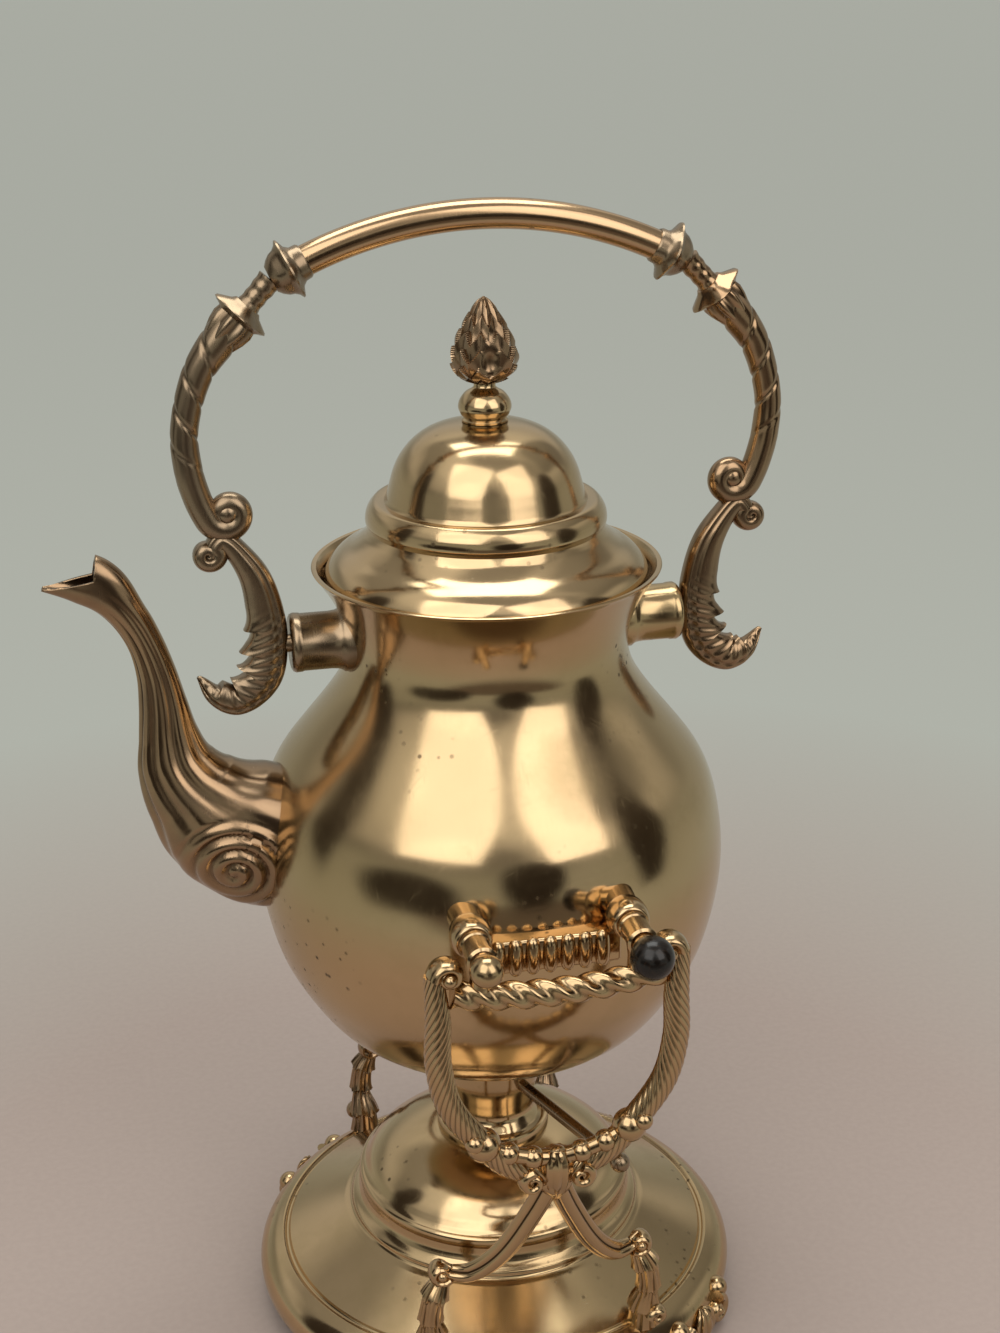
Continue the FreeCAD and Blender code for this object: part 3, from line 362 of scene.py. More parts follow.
class Nodes:
    """A node tree with short calls to add and link nodes."""

    def __init__(self, tree, place):
        self.tree = tree
        self.place = self.add("ShaderNodeTexCoord").outputs[place]

    def add(self, kind, **settings):
        node = self.tree.nodes.new(kind)
        for key, value in settings.items():
            setattr(node, key, value)
        return node

    def put(self, target, value):
        if isinstance(value, bpy.types.NodeSocket):
            self.tree.links.new(value, target)
        else:
            target.default_value = value

    def noise(self, scale, detail=3.0, roughness=0.5, stretch=None):
        node = self.add("ShaderNodeTexNoise")
        place = self.place
        if stretch:
            mapping = self.add("ShaderNodeMapping")
            self.put(mapping.inputs["Vector"], place)
            mapping.inputs["Scale"].default_value = stretch[0]
            mapping.inputs["Rotation"].default_value = stretch[1]
            place = mapping.outputs["Vector"]
        self.put(node.inputs["Vector"], place)
        node.inputs["Scale"].default_value = scale
        node.inputs["Detail"].default_value = detail
        node.inputs["Roughness"].default_value = roughness
        return node.outputs["Fac"]

    def spread(self, value, low, high, to_low=0.0, to_high=1.0):
        node = self.add("ShaderNodeMapRange")
        self.put(node.inputs["Value"], value)
        ends = {"From Min": low, "From Max": high, "To Min": to_low, "To Max": to_high}
        for key, number in ends.items():
            node.inputs[key].default_value = number
        return node.outputs["Result"]

    def math(self, operation, a, b):
        node = self.add("ShaderNodeMath", operation=operation)
        self.put(node.inputs[0], a)
        self.put(node.inputs[1], b)
        return node.outputs["Value"]

    def mix(self, factor, a, b):
        node = self.add("ShaderNodeMix", data_type="RGBA")
        self.put(node.inputs["Factor"], factor)
        self.put(node.inputs["A"], a)
        self.put(node.inputs["B"], b)
        return node.outputs["Result"]

    def bump(self, height, strength, distance):
        node = self.add("ShaderNodeBump")
        node.inputs["Strength"].default_value = strength
        node.inputs["Distance"].default_value = distance
        self.put(node.inputs["Height"], height)
        return node.outputs["Normal"]


class Finish(Nodes):
    """The nodes of a new material on the piece's own coordinates."""

    def __init__(self, name):
        self.material = bpy.data.materials.new(name)
        self.material.use_nodes = True
        super().__init__(self.material.node_tree, "Object")
        self.shader = self.tree.nodes["Principled BSDF"]


def brass_finish(name, bright, film, recess, rough, film_amount, relief_shade_and_highlight, speck_amount):
    """Brass with an uneven film, fine rubbing marks and specks, painted shade where the surface is hollow and a
    painted highlight on its raised edges.
    """
    nodes = Finish(name)
    shader = nodes.shader
    shader.inputs["Metallic"].default_value = 1.0
    drift = nodes.spread(nodes.noise(11.0, 4.0), 0.35, 0.68)
    cloud = nodes.spread(nodes.noise(34.0, 5.0, 0.6), 0.42, 0.72)
    film_mask = nodes.math("MULTIPLY", nodes.math("MAXIMUM", drift, cloud), film_amount)
    colour = nodes.mix(film_mask, tuple(bright), tuple(film))
    rubbed = nodes.noise(1.0, 2.0, 0.5, ((2600.0, 160.0, 160.0), (0.3, 0.2, 0.6)))
    crossed = nodes.noise(1.0, 2.0, 0.5, ((150.0, 2300.0, 190.0), (0.5, 0.1, -0.4)))
    marks = nodes.math("MAXIMUM", nodes.spread(rubbed, 0.60, 0.78), nodes.spread(crossed, 0.62, 0.80))
    dots = nodes.add("ShaderNodeTexVoronoi")
    nodes.put(dots.inputs["Vector"], nodes.place)
    dots.inputs["Scale"].default_value = 260.0
    spots = nodes.spread(dots.outputs["Distance"], 0.10, 0.22, 1.0, 0.0)
    patch = nodes.spread(nodes.noise(26.0, 3.0), 0.56, 0.66)
    specks = nodes.math("MULTIPLY", nodes.math("MULTIPLY", spots, patch), speck_amount)
    colour = nodes.mix(specks, colour, tuple(recess))
    # Painted shade: the hollows of the ornament, read from the recess mark, are darkened towards the recess
    # tone and made rougher.
    hollow = nodes.add("ShaderNodeAttribute", attribute_name="recess").outputs["Fac"]
    hollow_shade = nodes.math("MULTIPLY", nodes.spread(hollow, 0.02, 0.30), relief_shade_and_highlight)
    colour = nodes.mix(hollow_shade, colour, tuple(recess))
    # Painted highlight: raised edges and ridges are lightened towards a brighter brass tone.
    edge = nodes.math("MULTIPLY", nodes.spread(hollow, -0.08, -0.45), 0.55 * relief_shade_and_highlight)
    edge_highlight_tone = tuple(min(1.0, 1.25 * part) for part in bright[:3]) + (1.0,)
    colour = nodes.mix(edge, colour, edge_highlight_tone)
    nodes.put(shader.inputs["Base Color"], colour)
    fine = nodes.spread(nodes.noise(95.0, 4.0, 0.6), 0.35, 0.75, rough, rough + 0.05)
    worn = nodes.math("ADD", fine, nodes.math("MULTIPLY", marks, 0.07))
    dull = nodes.math("ADD", worn, nodes.math("MULTIPLY", film_mask, 0.16))
    dull = nodes.math("ADD", dull, nodes.math("MULTIPLY", hollow_shade, 0.35))
    nodes.put(shader.inputs["Roughness"], nodes.math("ADD", dull, nodes.math("MULTIPLY", specks, 0.3)))
    wave = nodes.noise(42.0, 2.0)
    height = nodes.math("ADD", nodes.math("MULTIPLY", wave, 0.6), nodes.math("MULTIPLY", marks, -0.06))
    nodes.put(shader.inputs["Normal"], nodes.bump(height, 0.10, 0.0006))
    return nodes.material


def wood_finish(name, colour):
    """Black polished wood: a faint grain under a clear coat, with a few rubbed places."""
    nodes = Finish(name)
    grain = nodes.noise(1.0, 5.0, 0.6, ((300.0, 2400.0, 300.0), (0.0, 0.0, 0.2)))
    brown = (0.026, 0.014, 0.008, 1.0)
    colour = nodes.mix(nodes.spread(grain, 0.48, 0.75), tuple(colour), brown)
    nodes.put(nodes.shader.inputs["Base Color"], colour)
    rough = nodes.spread(nodes.noise(160.0, 4.0), 0.35, 0.7, 0.16, 0.34)
    nodes.put(nodes.shader.inputs["Roughness"], rough)
    nodes.shader.inputs["Coat Weight"].default_value = 0.2
    nodes.shader.inputs["Coat Roughness"].default_value = 0.12
    nodes.shader.inputs["Specular IOR Level"].default_value = 0.3
    nodes.put(nodes.shader.inputs["Normal"], nodes.bump(grain, 0.12, 0.0002))
    return nodes.material


def cotton_finish(name, colour):
    """Twisted cotton with painted shade between its strands, charred towards its tip."""
    nodes = Finish(name)
    strands = nodes.add("ShaderNodeTexWave", wave_type="BANDS", bands_direction="DIAGONAL")
    nodes.put(strands.inputs["Vector"], nodes.place)
    strands.inputs["Scale"].default_value = 260.0
    strands.inputs["Distortion"].default_value = 2.5
    fibre = nodes.noise(900.0, 4.0)
    # Painted shade: the bands darken towards half the cotton's tone in the grooves between the strands.
    shade = tuple(0.5 * part for part in colour[:3]) + (1.0,)
    tone = nodes.mix(strands.outputs["Fac"], shade, tuple(colour))
    height = nodes.add("ShaderNodeSeparateXYZ")
    nodes.put(height.inputs["Vector"], nodes.place)
    ragged = nodes.math("ADD", height.outputs["Z"], nodes.math("MULTIPLY", fibre, 0.002))
    char = nodes.spread(ragged, 0.0825, 0.0855)
    nodes.put(nodes.shader.inputs["Base Color"], nodes.mix(char, tone, (0.012, 0.010, 0.009, 1.0)))
    nodes.shader.inputs["Roughness"].default_value = 0.95
    rise = nodes.math("ADD", strands.outputs["Fac"], fibre)
    nodes.put(nodes.shader.inputs["Normal"], nodes.bump(rise, 0.6, 0.0004))
    return nodes.material


def finish(look):
    """The material of a finish, made once."""
    name = look + "_finish"
    if name in bpy.data.materials:
        return bpy.data.materials[name]
    tones = bpy.context.scene.kettle_finishes
    if look == "ebonised_wood":
        return wood_finish(name, tones.knob)
    if look == "wick_cotton":
        return cotton_finish(name, tones.cotton)
    # Columns: bright tone, film tone, roughness, film amount, strength of the painted shade in hollows and the
    # painted highlight on ridges, speck amount.
    brasses = {
        "polished_brass": (tones.polished, tones.tarnish, 0.085, 0.65, 0.5, 0.75),
        "cast_brass": (tones.cast, tones.tarnish, 0.11, 0.45, 1.0, 0.5),
        "aged_brass": (tones.aged, tones.bronze, 0.13, 0.55, 1.0, 0.4),
        "dark_bronze": (tones.rubbed, tones.bronze, 0.19, 0.75, 1.0, 0.3),
        "grip_brass": (tones.grip, tones.aged, 0.10, 0.45, 0.5, 0.5),
    }
    bright, film, rough, film_amount, relief_shade_and_highlight, speck_amount = brasses[look]
    return brass_finish(name, bright, film, tones.recess, rough, film_amount, relief_shade_and_highlight, speck_amount)


def spiral(centre, start, end, turns, phase, size_start, size_end, count=18):
    """Points of a curl in an XZ plane that winds in towards its centre."""
    points = []
    for i in range(count):
        share = i / (count - 1)
        angle = phase + turns * TURN * share
        reach = start + (end - start) * share ** 0.8
        size = size_start + (size_end - size_start) * share
        x = centre[0] + reach * math.cos(angle)
        z = centre[2] + reach * math.sin(angle)
        points.append((x, centre[1], z, size))
    return points


def foot_shape(rim):
    """A cast foot that faces -Y: a pad under the rim behind a leaf, two curls and two balls, in mm."""
    pad = bmesh.new()
    bmesh.ops.create_cube(pad, size=1.0)
    bmesh.ops.scale(pad, vec=(23.0, 11.6, 4.9), verts=pad.verts)
    bmesh.ops.bevel(pad, geom=pad.edges[:], offset=1.2, segments=3, profile=0.5, affect="EDGES", material=-1)
    shapes = [moved(pad, Matrix.Translation((0, 5.2 - rim, 2.45)))]
    for side in (-1, 1):
        curl = spiral((side * 9.2, -rim - 0.2, 6.4), 4.8, 0.7, -1.4 * side, 0.5 * math.pi, 1.7, 1.2)
        shapes.append(tube(curl, 90, 18, flat=1.6))
        shapes.append(ball(Vector((side * 9.2, -rim - 1.4, 6.4)), 1.7, 10))
        shapes.append(ball(Vector((side * 13.0, 1.8 - rim, 11.6)), 3.6, 16))
    leaf = [(0, 0.4 - rim, 12.8, 1.0), (0, -rim - 0.6, 11.2, 3.4), (0, -rim - 0.9, 7.6, 4.9),
            (0, -rim - 0.4, 3.4, 3.6), (0, 0.2 - rim, 0.9, 2.4)]
    shapes.append(tube(leaf, 60, 72, lambda s, a: 0.34 * math.cos(9 * a), flat=0.55))
    return joined(shapes)


class KETTLE_OT_base(Operator):
    """Spin the stepped base and set its four cast feet"""

    bl_idname = "kettle.base"
    bl_label = "Base and feet"

    def execute(self, context):
        rim = context.scene.kettle_sizes.rim_radius / MM
        outer = [(rim - 2.2, 5.0), (rim - 0.6, 6.4), (rim, 9.6), (rim - 0.5, 12.2), (rim - 1.9, 14.6),
                 (rim - 4.4, 16.9), (rim - 7.4, 18.5)]
        channel = [(rim - 8.2, 18.3), (rim - 8.9, 17.7), (rim - 9.6, 18.0), (rim - 10.0, 18.9)]
        tread = [(rim - 12.6, 20.2), (rim - 20.0, 23.9), (rim - 26.4, 27.2), (rim - 29.0, 28.6)]
        step = [(rim - 30.0, 28.8), (rim - 30.7, 29.6), (rim - 30.9, 30.8), (rim - 31.8, 31.6)]
        riser = [(rim - 33.2, 32.6), (rim - 34.2, 34.6), (rim - 34.6, 37.0)]
        bead = [(rim - 34.0, 37.8), (rim - 33.4, 39.2), (rim - 33.8, 40.8), (rim - 35.0, 41.6)]
        dome = [(41.2, 43.0), (39.6, 45.6), (34.4, 50.0), (27.0, 53.8), (19.0, 56.0), (9.0, 56.0),
                (0.3, 56.0)]
        profile = []
        runs = (outer, 26), (channel, 10), (tread, 16), (step, 10), (riser, 10), (bead, 12), (dome, 30)
        for run, count in runs:
            profile += eased(run, count)
        profile = walled(profile, context.scene.kettle_sizes.sheet / MM)
        profile.append(profile[0])
        piece("spun_base", turned(profile, 224), "stand", "polished_brass", "base_shell")
        feet = {"foot_spout_near": -45.0, "foot_rear_near": 45.0,
                "foot_rear_far": 135.0, "foot_spout_far": -135.0}
        for node, turn in feet.items():
            shape = moved(foot_shape(rim), Matrix.Rotation(math.radians(turn), 4, "Z"))
            piece("cast_" + node, shape, "stand", "cast_brass", node, ornament=True)
        return {"FINISHED"}


def leaf_tiers(share, angle):
    """Relief of leaves that overlap in tiers along a drop."""
    lobe = abs(math.cos(2.5 * angle))
    tier = (3.6 * share + 0.22 * lobe) % 1.0
    return 1.5 * tier ** 1.6 * (0.7 + 0.3 * lobe) - 0.7 + 0.16 * math.cos(15 * angle)


def near_bracket_shape(sizes):
    """The near bracket: reeded uprights and legs, a gadrooned rail, curls, beads and leafy shoes."""
    y = -sizes.bracket_plane / MM
    spread = sizes.pin_spread / MM
    height = sizes.pin_height / MM
    strand = sizes.strand_radius / MM
    shapes = []

    def rail_z(x):
        return height - 11.5 - 3.0 * (1 - (x / 30.5) ** 2)

    rail = [(x, y, rail_z(x), 3.5) for x in (-29.5, -20, -10, 0, 10, 20, 29.5)]
    shapes.append(tube(rail, 190, 48, lambda s, a: 0.55 * math.cos(3 * a - 8 * TURN * s)))
    for side in (-1, 1):
        sleeve = [(0, -5.5), (3.6, -5.5), (4.3, -4.9), (4.3, -3.6), (3.9, -3.2),
                  (3.9, 3.2), (4.3, 3.6), (4.3, 4.9), (3.6, 5.5), (0, 5.5)]
        shapes.append(stood(turned(sleeve, 40), Vector((side * spread, y, height)), (0, 1, 0)))
        post = [(side * spread, y, z, radius) for z, radius in
                ((height - 2.5, 3.1), (height - 7.0, 2.7), (rail_z(spread), 3.2))]
        shapes.append(tube(post, 12, 20, side=Vector((0, 1, 0.01))))
        right = side > 0
        curl = spiral((side * 30.5, y, height - 5.5), 4.0, 0.6, 1.5 * side,
                      HALF_TURN * (0.0 if right else 1.0), 2.0, 1.1)
        shapes.append(tube(curl, 90, 18, flat=2.1))
        shapes.append(ball(Vector((side * 30.5, y - 3.4, height - 5.5)), 1.9, 10))
        upright = [
            (side * 34.4, y, height - 5.0, strand * 0.7),
            (side * 33.4, y, height - 19.0, strand * 0.95),
            (side * 33.5, y, height - 33.0, strand),
            (side * 30.3, y + 0.5, height - 47.0, strand),
            (side * 21.0, y + 1.5, height - 61.0, strand),
            (side * 14.0, y + 2.5, height - 69.0, strand),
            (0, y + 4.5, height - 77.0, strand * 0.95),
        ]
        shapes.append(tube(upright, 240, 78, lambda s, a: 0.15 * math.cos(13 * a + side * 30 * TURN * s)))
        shapes.append(ball(Vector((side * 21.0, y + 1.5, height - 61.0)), 4.9, 16))
        shapes.append(ball(Vector((side * 24.2, y - 1.6, height - 58.2)), 2.7, 12))
        leg = [
            (0, y + 4.5, height - 76.0, 3.2),
            (side * 5.4, y + 8.0, height - 90.0, 3.2),
            (side * 13.5, y + 12.5, height - 106.0, 3.2),
            (side * 21.5, y + 17.5, height - 115.4, 3.0),
            (side * 27.5, y + 20.0, height - 116.4, 2.4),
            (side * 31.0, y + 20.5, height - 113.4, 1.6),
        ]
        shapes.append(tube(leg, 110, 60, lambda s, a: 1.25 * abs(math.cos(2 * a)) ** 0.6 - 0.95))
        knee = spiral((side * 30.4, y + 20.2, height - 115.6), 3.2, 0.5, 1.5 * side,
                      HALF_TURN * (1.2 if right else -0.2), 1.7, 1.0)
        shapes.append(tube(knee, 80, 18, flat=2.2))
        shapes.append(ball(Vector((side * 30.4, y + 17.4, height - 115.6)), 1.5, 10))
        shoe = [
            (side * 29.6, y + 20.4, height - 117.0, 2.8),
            (side * 32.6, y + 19.6, height - 124.0, 3.9),
            (side * 33.6, y + 20.4, height - 132.0, 3.4),
            (side * 33.0, y + 22.2, height - 140.0, 4.6),
            (side * 33.0, y + 23.0, height - 147.0, 4.8),
        ]
        shapes.append(tube(shoe, 120, 60, leaf_tiers))
        toe = spiral((side * 36.0, y + 18.5, 22.6), 2.6, 0.4, -1.3 * side,
                     HALF_TURN * (1.0 if right else 0.0), 1.6, 0.9)
        shapes.append(tube(toe, 60, 16, flat=1.8))

    def bar_z(x):
        return height - 61.0 - 7.0 * (1 - (x / 21.0) ** 2)

    last = sizes.beads - 1
    for i in range(1, last):
        x = 21.0 * (2 * i / last - 1)
        shapes.append(ball(Vector((x, y + 1.3, bar_z(x))), 3.25, 14))
    bar = [(x, y + 1.5, bar_z(x), 2.4) for x in (-21, -14, -7, 0, 7, 14, 21)]
    shapes.append(tube(bar, 60, 20))
    shapes.append(ball(Vector((0, y + 4.5, height - 77.0)), 5.4, 18))
    heart = [(0, y + 2.2, height - 66.0, 3.2), (0, y + 1.4, height - 71.0, 4.3),
             (0, y + 2.6, height - 78.0, 3.4), (0, y + 4.0, height - 84.0, 0.6)]
    shapes.append(tube(heart, 50, 40, lambda s, a: 0.35 * math.cos(9 * a)))
    for side in (-1, 1):
        curl = spiral((side * 7.0, y + 1.6, height - 75.0), 3.5, 0.5, -1.4 * side, 0.5 * math.pi, 1.8, 1.0)
        shapes.append(tube(curl, 80, 18, flat=2.0))
    return joined(shapes)


class KETTLE_OT_brackets(Operator):
    """Cast the two side brackets"""

    bl_idname = "kettle.brackets"
    bl_label = "Side brackets"

    def execute(self, context):
        sizes = context.scene.kettle_sizes
        # The far bracket is the same casting as the near one: its browner aged finish is painted shade.
        for word, look in (("near", "cast_brass"), ("far", "aged_brass")):
            shape = near_bracket_shape(sizes)
            if word == "far":
                flipped(shape, 1)
            node = word + "_bracket"
            piece(word + "_scroll_bracket", shape, "stand", "cast_brass", node, look, ornament=True)
        return {"FINISHED"}


class KETTLE_OT_pins(Operator):
    """Turn the pivot pins, the lock pins and their knobs"""

    bl_idname = "kettle.pins"
    bl_label = "Tipping pins"

    def bulb(self, radius, middle, start, count):
        """The side of a ball on a pin, from an angle upwards."""
        angles = [start + 0.1 * i for i in range(count)]
        return [(radius * math.cos(a), middle + radius * math.sin(a)) for a in angles]

    def execute(self, context):
        sizes = context.scene.kettle_sizes
        spread = sizes.pin_spread / MM
        height = sizes.pin_height / MM
        y = sizes.bracket_plane / MM
        tip = [(0, y - 13.5), (2.1, y - 13.5), (2.5, y - 13.1)]
        pivot = tip + [(2.5, y + 5.6), (3.4, y + 5.9), (3.4, y + 6.6)]
        pivot += self.bulb(4.6, y + 10.0, -0.7, 23) + [(0, y + 14.6)]
        rod = tip + [(2.5, y + 6.4), (3.3, y + 6.6), (3.3, y + 7.6), (2.5, y + 7.8), (2.5, y + 12.8),
                     (0, y + 13.0)]
        knob = [(0, y + 7.7), (3.2, y + 7.7), (3.8, y + 8.2)]
        knob += self.bulb(6.0, y + 13.5, -0.85, 25) + [(0, y + 19.5)]
        for word, side in (("near", -1), ("far", 1)):
            body = word + "_lock_pin"
            turnings = (
                (word + "_pivot", pivot, 48, -spread, "cast_brass", "stand", word + "_pivot_pin"),
                (word + "_lock_shaft", rod, 48, spread, "cast_brass", body, word + "_lock_rod"),
                (word + "_lock_ball", knob, 64, spread, "ebonised_wood", body, word + "_lock_knob"),
            )
            for name, profile, steps, x, slot, rides, node in turnings:
                shape = stood(turned(profile, steps), Vector((x, 0, height)), (0, side, 0))
                piece(name, shape, rides, slot, node)
        return {"FINISHED"}


class KETTLE_OT_burner(Operator):
    """Turn the spirit burner, its seat, cap and wick"""

    bl_idname = "kettle.burner"
    bl_label = "Burner"

    def execute(self, context):
        bowl = [(0, 56.0), (15.6, 56.0), (16.2, 56.6), (16.2, 58.4), (15.6, 59.0)]
        bowl += eased([(15.0, 59.3), (12.8, 63.0), (13.3, 68.0), (14.6, 74.0), (15.0, 79.2)], 30)
        bowl += [(15.0, 80.0), (14.0, 80.0), (13.6, 74.0), (12.2, 66.0), (11.0, 61.0), (0, 60.4)]
        piece("spirit_bowl", turned(bowl, 128), "burner", "polished_brass", "burner_bowl")
        cap = [(0, 78.0), (13.9, 78.0), (13.9, 80.05), (14.9, 80.05), (15.0, 80.6), (14.6, 81.1),
               (13.0, 81.3), (6.0, 81.5), (4.4, 81.6), (4.0, 82.0), (4.0, 82.8), (3.7, 83.0), (2.9, 83.0),
               (2.85, 78.6), (0, 78.6)]
        piece("burner_lid", turned(cap, 128), "burner", "polished_brass", "burner_cap")
        cotton = [(0, 0, 63.0, 2.6), (0, 0, 70.0, 2.7), (0, 0, 80.0, 2.7), (0.1, 0, 84.2, 2.4),
                  (0.2, 0, 85.0, 0.6)]
        wick = tube(cotton, 60, 40, lambda s, a: 0.14 * math.cos(7 * a + 6 * TURN * s))
        piece("cotton_wick", wick, "burner", "wick_cotton", "wick")
        seat = [(16.5, 56.0), (18.0, 56.0), (18.0, 58.6), (17.6, 59.4), (16.9, 59.5), (16.5, 59.2),
                (16.5, 56.0)]
        piece("burner_collar", turned(seat, 128), "stand", "polished_brass", "burner_seat")
        end = Vector((27.0, -54.0, 71.0))
        start = Vector((0.4472 * 14.6, -0.8944 * 14.6, 76.0))
        stem = [tuple(start.lerp(end, t)) + (1.9,) for t in (0, 0.25, 0.5, 0.75, 1.0)]
        bar = tube(stem, 40, 24, lambda s, a: 0.12 * math.cos(5 * a), side=Z_SIDE)
        shape = joined([bar, ball(end, 3.0, 14)])
        piece("burner_stem", shape, "burner", "dark_bronze", "burner_handle")
        return {"FINISHED"}


def pot_line(sizes):
    """The pot's outer side in mm."""
    pot = sizes.pot_radius / MM
    neck = sizes.neck_radius / MM
    mouth = sizes.mouth_radius / MM
    top = sizes.mouth_height / MM
    points = [
        (pot - 45.8, 90.0), (pot - 32.3, 94.6), (pot - 19.0, 104.0), (pot - 11.5, 115.0), (pot - 4.9, 127.5),
        (pot, 155.0), (pot - 4.4, 181.5), (pot - 12.4, 193.0), (neck + 8.4, 204.5), (neck + 1.0, 216.0),
        (neck, 224.0), (neck + 2.6, top - 12.5), (mouth - 3.4, top - 4.4), (mouth - 0.5, top - 0.8),
    ]
    return settled(smooth_line(points, 150), 36)


def near_lug_shape(sizes):
    """The near lug: a fluted bar between a bulbous eye and a bulbous open hook, in mm."""
    spread = sizes.pin_spread / MM
    height = sizes.pin_height / MM
    pot = sizes.pot_radius / MM
    front = pot + 4.2
    shapes = []
    bar = bmesh.new()
    bmesh.ops.create_cube(bar, size=1.0)
    bmesh.ops.scale(bar, vec=(2 * spread - 3.4, 10.0, 9.6), verts=bar.verts)
    bmesh.ops.bevel(bar, geom=bar.edges[:], offset=1.0, segments=3, profile=0.5, affect="EDGES", material=-1)
    shapes.append(moved(bar, Matrix.Translation((0, 5.0 - front, height - 8.0))))
    flutes = 7
    for i in range(flutes):
        x = 29.4 * (i / (flutes - 1) - 0.5)
        flute = [(x, off - front, height - drop, radius) for off, drop, radius in
                 ((0.9, 2.9, 0.6), (0.5, 3.4, 1.7), (0.2, 6.0, 2.15),
                  (0.2, 10.0, 2.15), (0.5, 12.4, 1.7), (0.9, 12.9, 0.6))]
        shapes.append(tube(flute, 26, 18, side=Vector((0, 1, 0.001))))
    middle = 2.5 - front - 1.6
    for side, low, high in ((-1, 0.0, TURN), (1, -0.25 * math.pi, 1.25 * math.pi)):
        ring = []
        for i in range(25):
            angle = low + (high - low) * i / 24
            x = side * spread + 4.35 * math.cos(angle)
            ring.append((x, middle, height + 4.35 * math.sin(angle), 1.55))
        shapes.append(tube(ring, 73, 32, flat=2.9))
        neck = [(side * spread, off - front, height + rise, radius) for off, rise, radius in
                ((1.0, 1.0, 4.4), (5.0, 1.2, 4.3), (17.0, 1.4, 5.0))]
        shapes.append(tube(neck, 20, 32, side=Z_SIDE))
    return joined(shapes)


def hinge_barrel(low, high):
    """A hinge knuckle between two places along X, bored for its pin, in mm."""
    ring = [(1.15, low), (1.9, low), (2.3, low + 0.35), (2.3, low + 0.8), (2.15, low + 1.0),
            (2.15, high - 1.0), (2.3, high - 0.8), (2.3, high - 0.35), (1.9, high), (1.15, high), (1.15, low)]
    return stood(turned(ring, 40), HINGE_PLACE, (1, 0, 0))


def hinge_ears_shape():
    """Two knuckles on straps that turn under the mouth to a leaf on the neck, in mm."""
    across = Vector((1, 0, 0))
    shapes = []
    for side in (-1, 1):
        shapes.append(hinge_barrel(*sorted((side * 3.65, side * 8.5))))
        x = side * 6.1
        strap = [(x, 55.6, 248.2, 0.9), (x, 56.0, 245.0, 1.1), (x, 54.6, 241.0, 1.2), (x, 50.4, 238.2, 1.2),
                 (x, 44.0, 237.2, 1.2)]
        shapes.append(tube(strap, 50, 24, side=across, flat=2.1))
    leaf = [(0, 55.4, 243.6, 0.4), (0, 54.2, 240.8, 1.2), (0, 50.6, 238.2, 1.3), (0, 44.0, 237.2, 1.3)]
    shapes.append(tube(leaf, 50, 60, side=across, flat=6.2))
    return joined(shapes)


def lid_knuckle_shape():
    """The middle knuckle with a leaf-shaped strap on the lid's skirt, in mm."""
    strap = [(0, 54.4, 251.0, 0.9), (0, 50.0, 250.6, 1.1), (0, 45.6, 248.9, 1.15), (0, 42.2, 250.6, 1.4),
             (0, 38.6, 253.0, 1.1), (0, 35.8, 255.0, 0.2)]
    leaf = tube(strap, 70, 40, side=Vector((1, 0, 0)), flat=2.8)
    return joined([hinge_barrel(-3.25, 3.25), leaf])


class KETTLE_OT_pot(Operator):
    """Spin the pot and set its lugs, bosses and hinge"""

    bl_idname = "kettle.pot"
    bl_label = "Pot"

    def execute(self, context):
        sizes = context.scene.kettle_sizes
        outer = [tuple(point) for point in pot_line(sizes)]
        wall = walled(outer, sizes.sheet / MM)
        inside = wall[len(outer):]
        mouth = sizes.mouth_radius / MM
        top = sizes.mouth_height / MM
        lip = [(mouth - 0.1, top - 0.5), (mouth, top - 0.2), (mouth - 0.3, top), (mouth - 0.9, top - 0.1)]
        floor = [(0.0, 90.0), (10.0, 90.0)]
        profile = floor + outer + lip + inside + [(10.0, 91.2), (0.0, 91.2)]
        piece("spun_pot", turned(profile, 256), "kettle", "polished_brass", "pot_body")
        for word in ("near", "far"):
            shape = near_lug_shape(sizes)
            if word == "far":
                flipped(shape, 1)
            piece(word + "_fluted_lug", shape, "kettle", "cast_brass", word + "_lug", ornament=True)
        boss_end = 19.6
        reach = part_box("handle_boss_rear")[1].x / MM - boss_end
        root = sizes.neck_radius / MM - 1.0 - reach
        boss = [(9.6, root), (9.6, 4.2), (9.0, 5.0), (8.6, 6.0), (8.4, 8.0), (8.4, 16.2), (8.6, 16.6),
                (8.7, 18.4), (8.3, 19.2), (7.6, boss_end), (2.7, boss_end), (2.7, 14.0), (0, 14.0)]
        for word, side, slot in (("rear", 1, "polished_brass"), ("spout", -1, "dark_bronze")):
            shape = stood(turned(boss, 96), Vector((side * reach, 0, BOSS_HEIGHT)), (side, 0, 0))
            piece("neck_boss_" + word, shape, "kettle", slot, "handle_boss_" + word)
        piece("hinge_ears", hinge_ears_shape(), "kettle", "cast_brass", "pot_hinge")
        return {"FINISHED"}


def groove(phase):
    """Narrow cut lines with rounded bands between them."""
    return 0.35 - (0.5 + 0.5 * math.cos(phase)) ** 2


